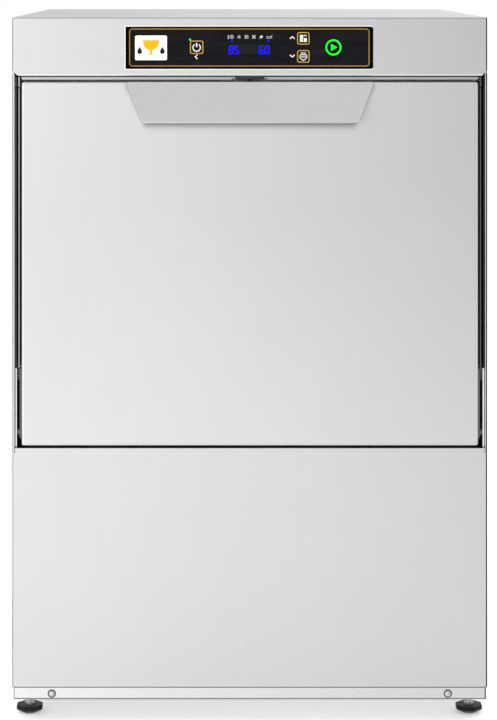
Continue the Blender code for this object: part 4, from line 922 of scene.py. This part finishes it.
def floor():
    """A wide pale floor that metal mirrors as part of the studio."""
    bm = bmesh.new()
    bmesh.ops.create_grid(bm, x_segments=8, y_segments=8, size=30.0)
    mesh = bpy.data.meshes.new("studio_floor")
    bm.to_mesh(mesh)
    bm.free()
    obj = bpy.data.objects.new("studio_floor", mesh)
    bpy.context.scene.collection.objects.link(obj)
    mat, tree, bsdf = new_material("pale_floor")
    out = tree.nodes[0]
    place = add(tree, "ShaderNodeTexCoord").outputs["Object"]
    mottle = noise(tree, place, 3.0, 3.0)
    set_inputs(tree, bsdf, Base_Color=mix_colour(tree, mottle, grey(0.88), grey(0.90)),
               Roughness=0.9, Specular_IOR_Level=0.1)
    path = add(tree, "ShaderNodeLightPath").outputs
    lift = add(tree, "ShaderNodeEmission",
               {0: grey(1.0), 1: math_node(tree, "MULTIPLY", path["Is Camera Ray"], FLOOR_LIFT)})
    seen = add(tree, "ShaderNodeAddShader", {0: bsdf.outputs[0], 1: lift.outputs[0]})
    back = add(tree, "ShaderNodeNewGeometry").outputs["Incoming"]
    way = add(tree, "ShaderNodeVectorMath", {0: back, "Scale": -1.0}, operation="SCALE").outputs[0]
    mirrored = add(tree, "ShaderNodeEmission", {0: grey(1.0), 1: studio_level(tree, way)})
    both = add(tree, "ShaderNodeMixShader",
               {0: math_node(tree, "MULTIPLY", path["Is Glossy Ray"], FLOOR_IN_METAL),
                1: seen.outputs[0], 2: mirrored.outputs[0]})
    tree.links.new(both.outputs[0], out.inputs[0])
    mesh.materials.append(mat)


floor()


def world():
    """White to the eye; what the metal mirrors has the studio's brighter and softer sides."""
    scene_world = bpy.data.worlds.new("studio")
    bpy.context.scene.world = scene_world
    scene_world.use_nodes = True
    tree = scene_world.node_tree
    tree.nodes.clear()
    way = add(tree, "ShaderNodeTexCoord").outputs["Generated"]
    lit = add(tree, "ShaderNodeBackground", {0: grey(1.0), 1: studio_level(tree, way)})
    seen = add(tree, "ShaderNodeBackground", {0: grey(1.0), 1: 1.0})
    camera_ray = add(tree, "ShaderNodeLightPath").outputs["Is Camera Ray"]
    choice = add(tree, "ShaderNodeMixShader",
                 {0: camera_ray, 1: lit.outputs[0], 2: seen.outputs[0]})
    out = add(tree, "ShaderNodeOutputWorld")
    tree.links.new(choice.outputs[0], out.inputs[0])


world()


def softbox(name, place, target, size, power):
    data = bpy.data.lights.new(name, "AREA")
    data.shape, data.size, data.size_y = "RECTANGLE", size[0], size[1]
    data.energy = power
    obj = bpy.data.objects.new(name, data)
    obj.location = place
    obj.rotation_euler = (Vector(target) - Vector(place)).to_track_quat("-Z", "Y").to_euler()
    obj.visible_glossy = False
    bpy.context.scene.collection.objects.link(obj)


softbox("key_softbox", (-1.5, -1.9, 2.3), (0, 0, 0.35), (1.6, 1.6), 22)
softbox("chamber_fill", (0.0, -2.4, 0.75), (0, 0, 0.45), (1.4, 1.0), 12)
softbox("top_softbox", (0.3, 0.2, 2.6), (0, 0, 0.3), (2.4, 2.4), 30)

# The camera stands at eye height with its lens shifted down, as for a straight catalogue view.
camera_data = bpy.data.cameras.new("camera")
camera = bpy.data.objects.new("camera", camera_data)
bpy.context.scene.collection.objects.link(camera)
FOCAL_PX, EYE, CENTRE_PX = 2496.8, (-0.0301, -2.7354, 0.7449), (219.4, -28.2)
FRAME_W, FRAME_H = 497, 720
SENSOR = 36.0
camera_data.sensor_width = SENSOR
camera_data.lens = FOCAL_PX / FRAME_H * SENSOR
camera.location = EYE
camera.rotation_euler = (math.pi / 2, 0, 0)
# The shift is driven off wherever another view moves the camera away from EYE.
SHIFT = ((FRAME_W / 2 - CENTRE_PX[0]) / FRAME_H, (CENTRE_PX[1] - FRAME_H / 2) / FRAME_H)
for axis, value in zip("xy", SHIFT):
    curve = camera_data.driver_add("shift_" + axis)
    driver = curve.driver
    driver.type = "SCRIPTED"
    var = driver.variables.new()
    var.name = "y"
    var.type = "TRANSFORMS"
    var.targets[0].id = camera
    var.targets[0].transform_type = "LOC_Y"
    driver.expression = f"{value:.5f} if abs(y - {EYE[1]:.4f}) < 0.001 else 0.0"
bpy.context.scene.camera = camera

view = bpy.context.scene.view_settings
view.view_transform, view.look = "Standard", "None"
view.exposure, view.gamma = 0.0, 1.0
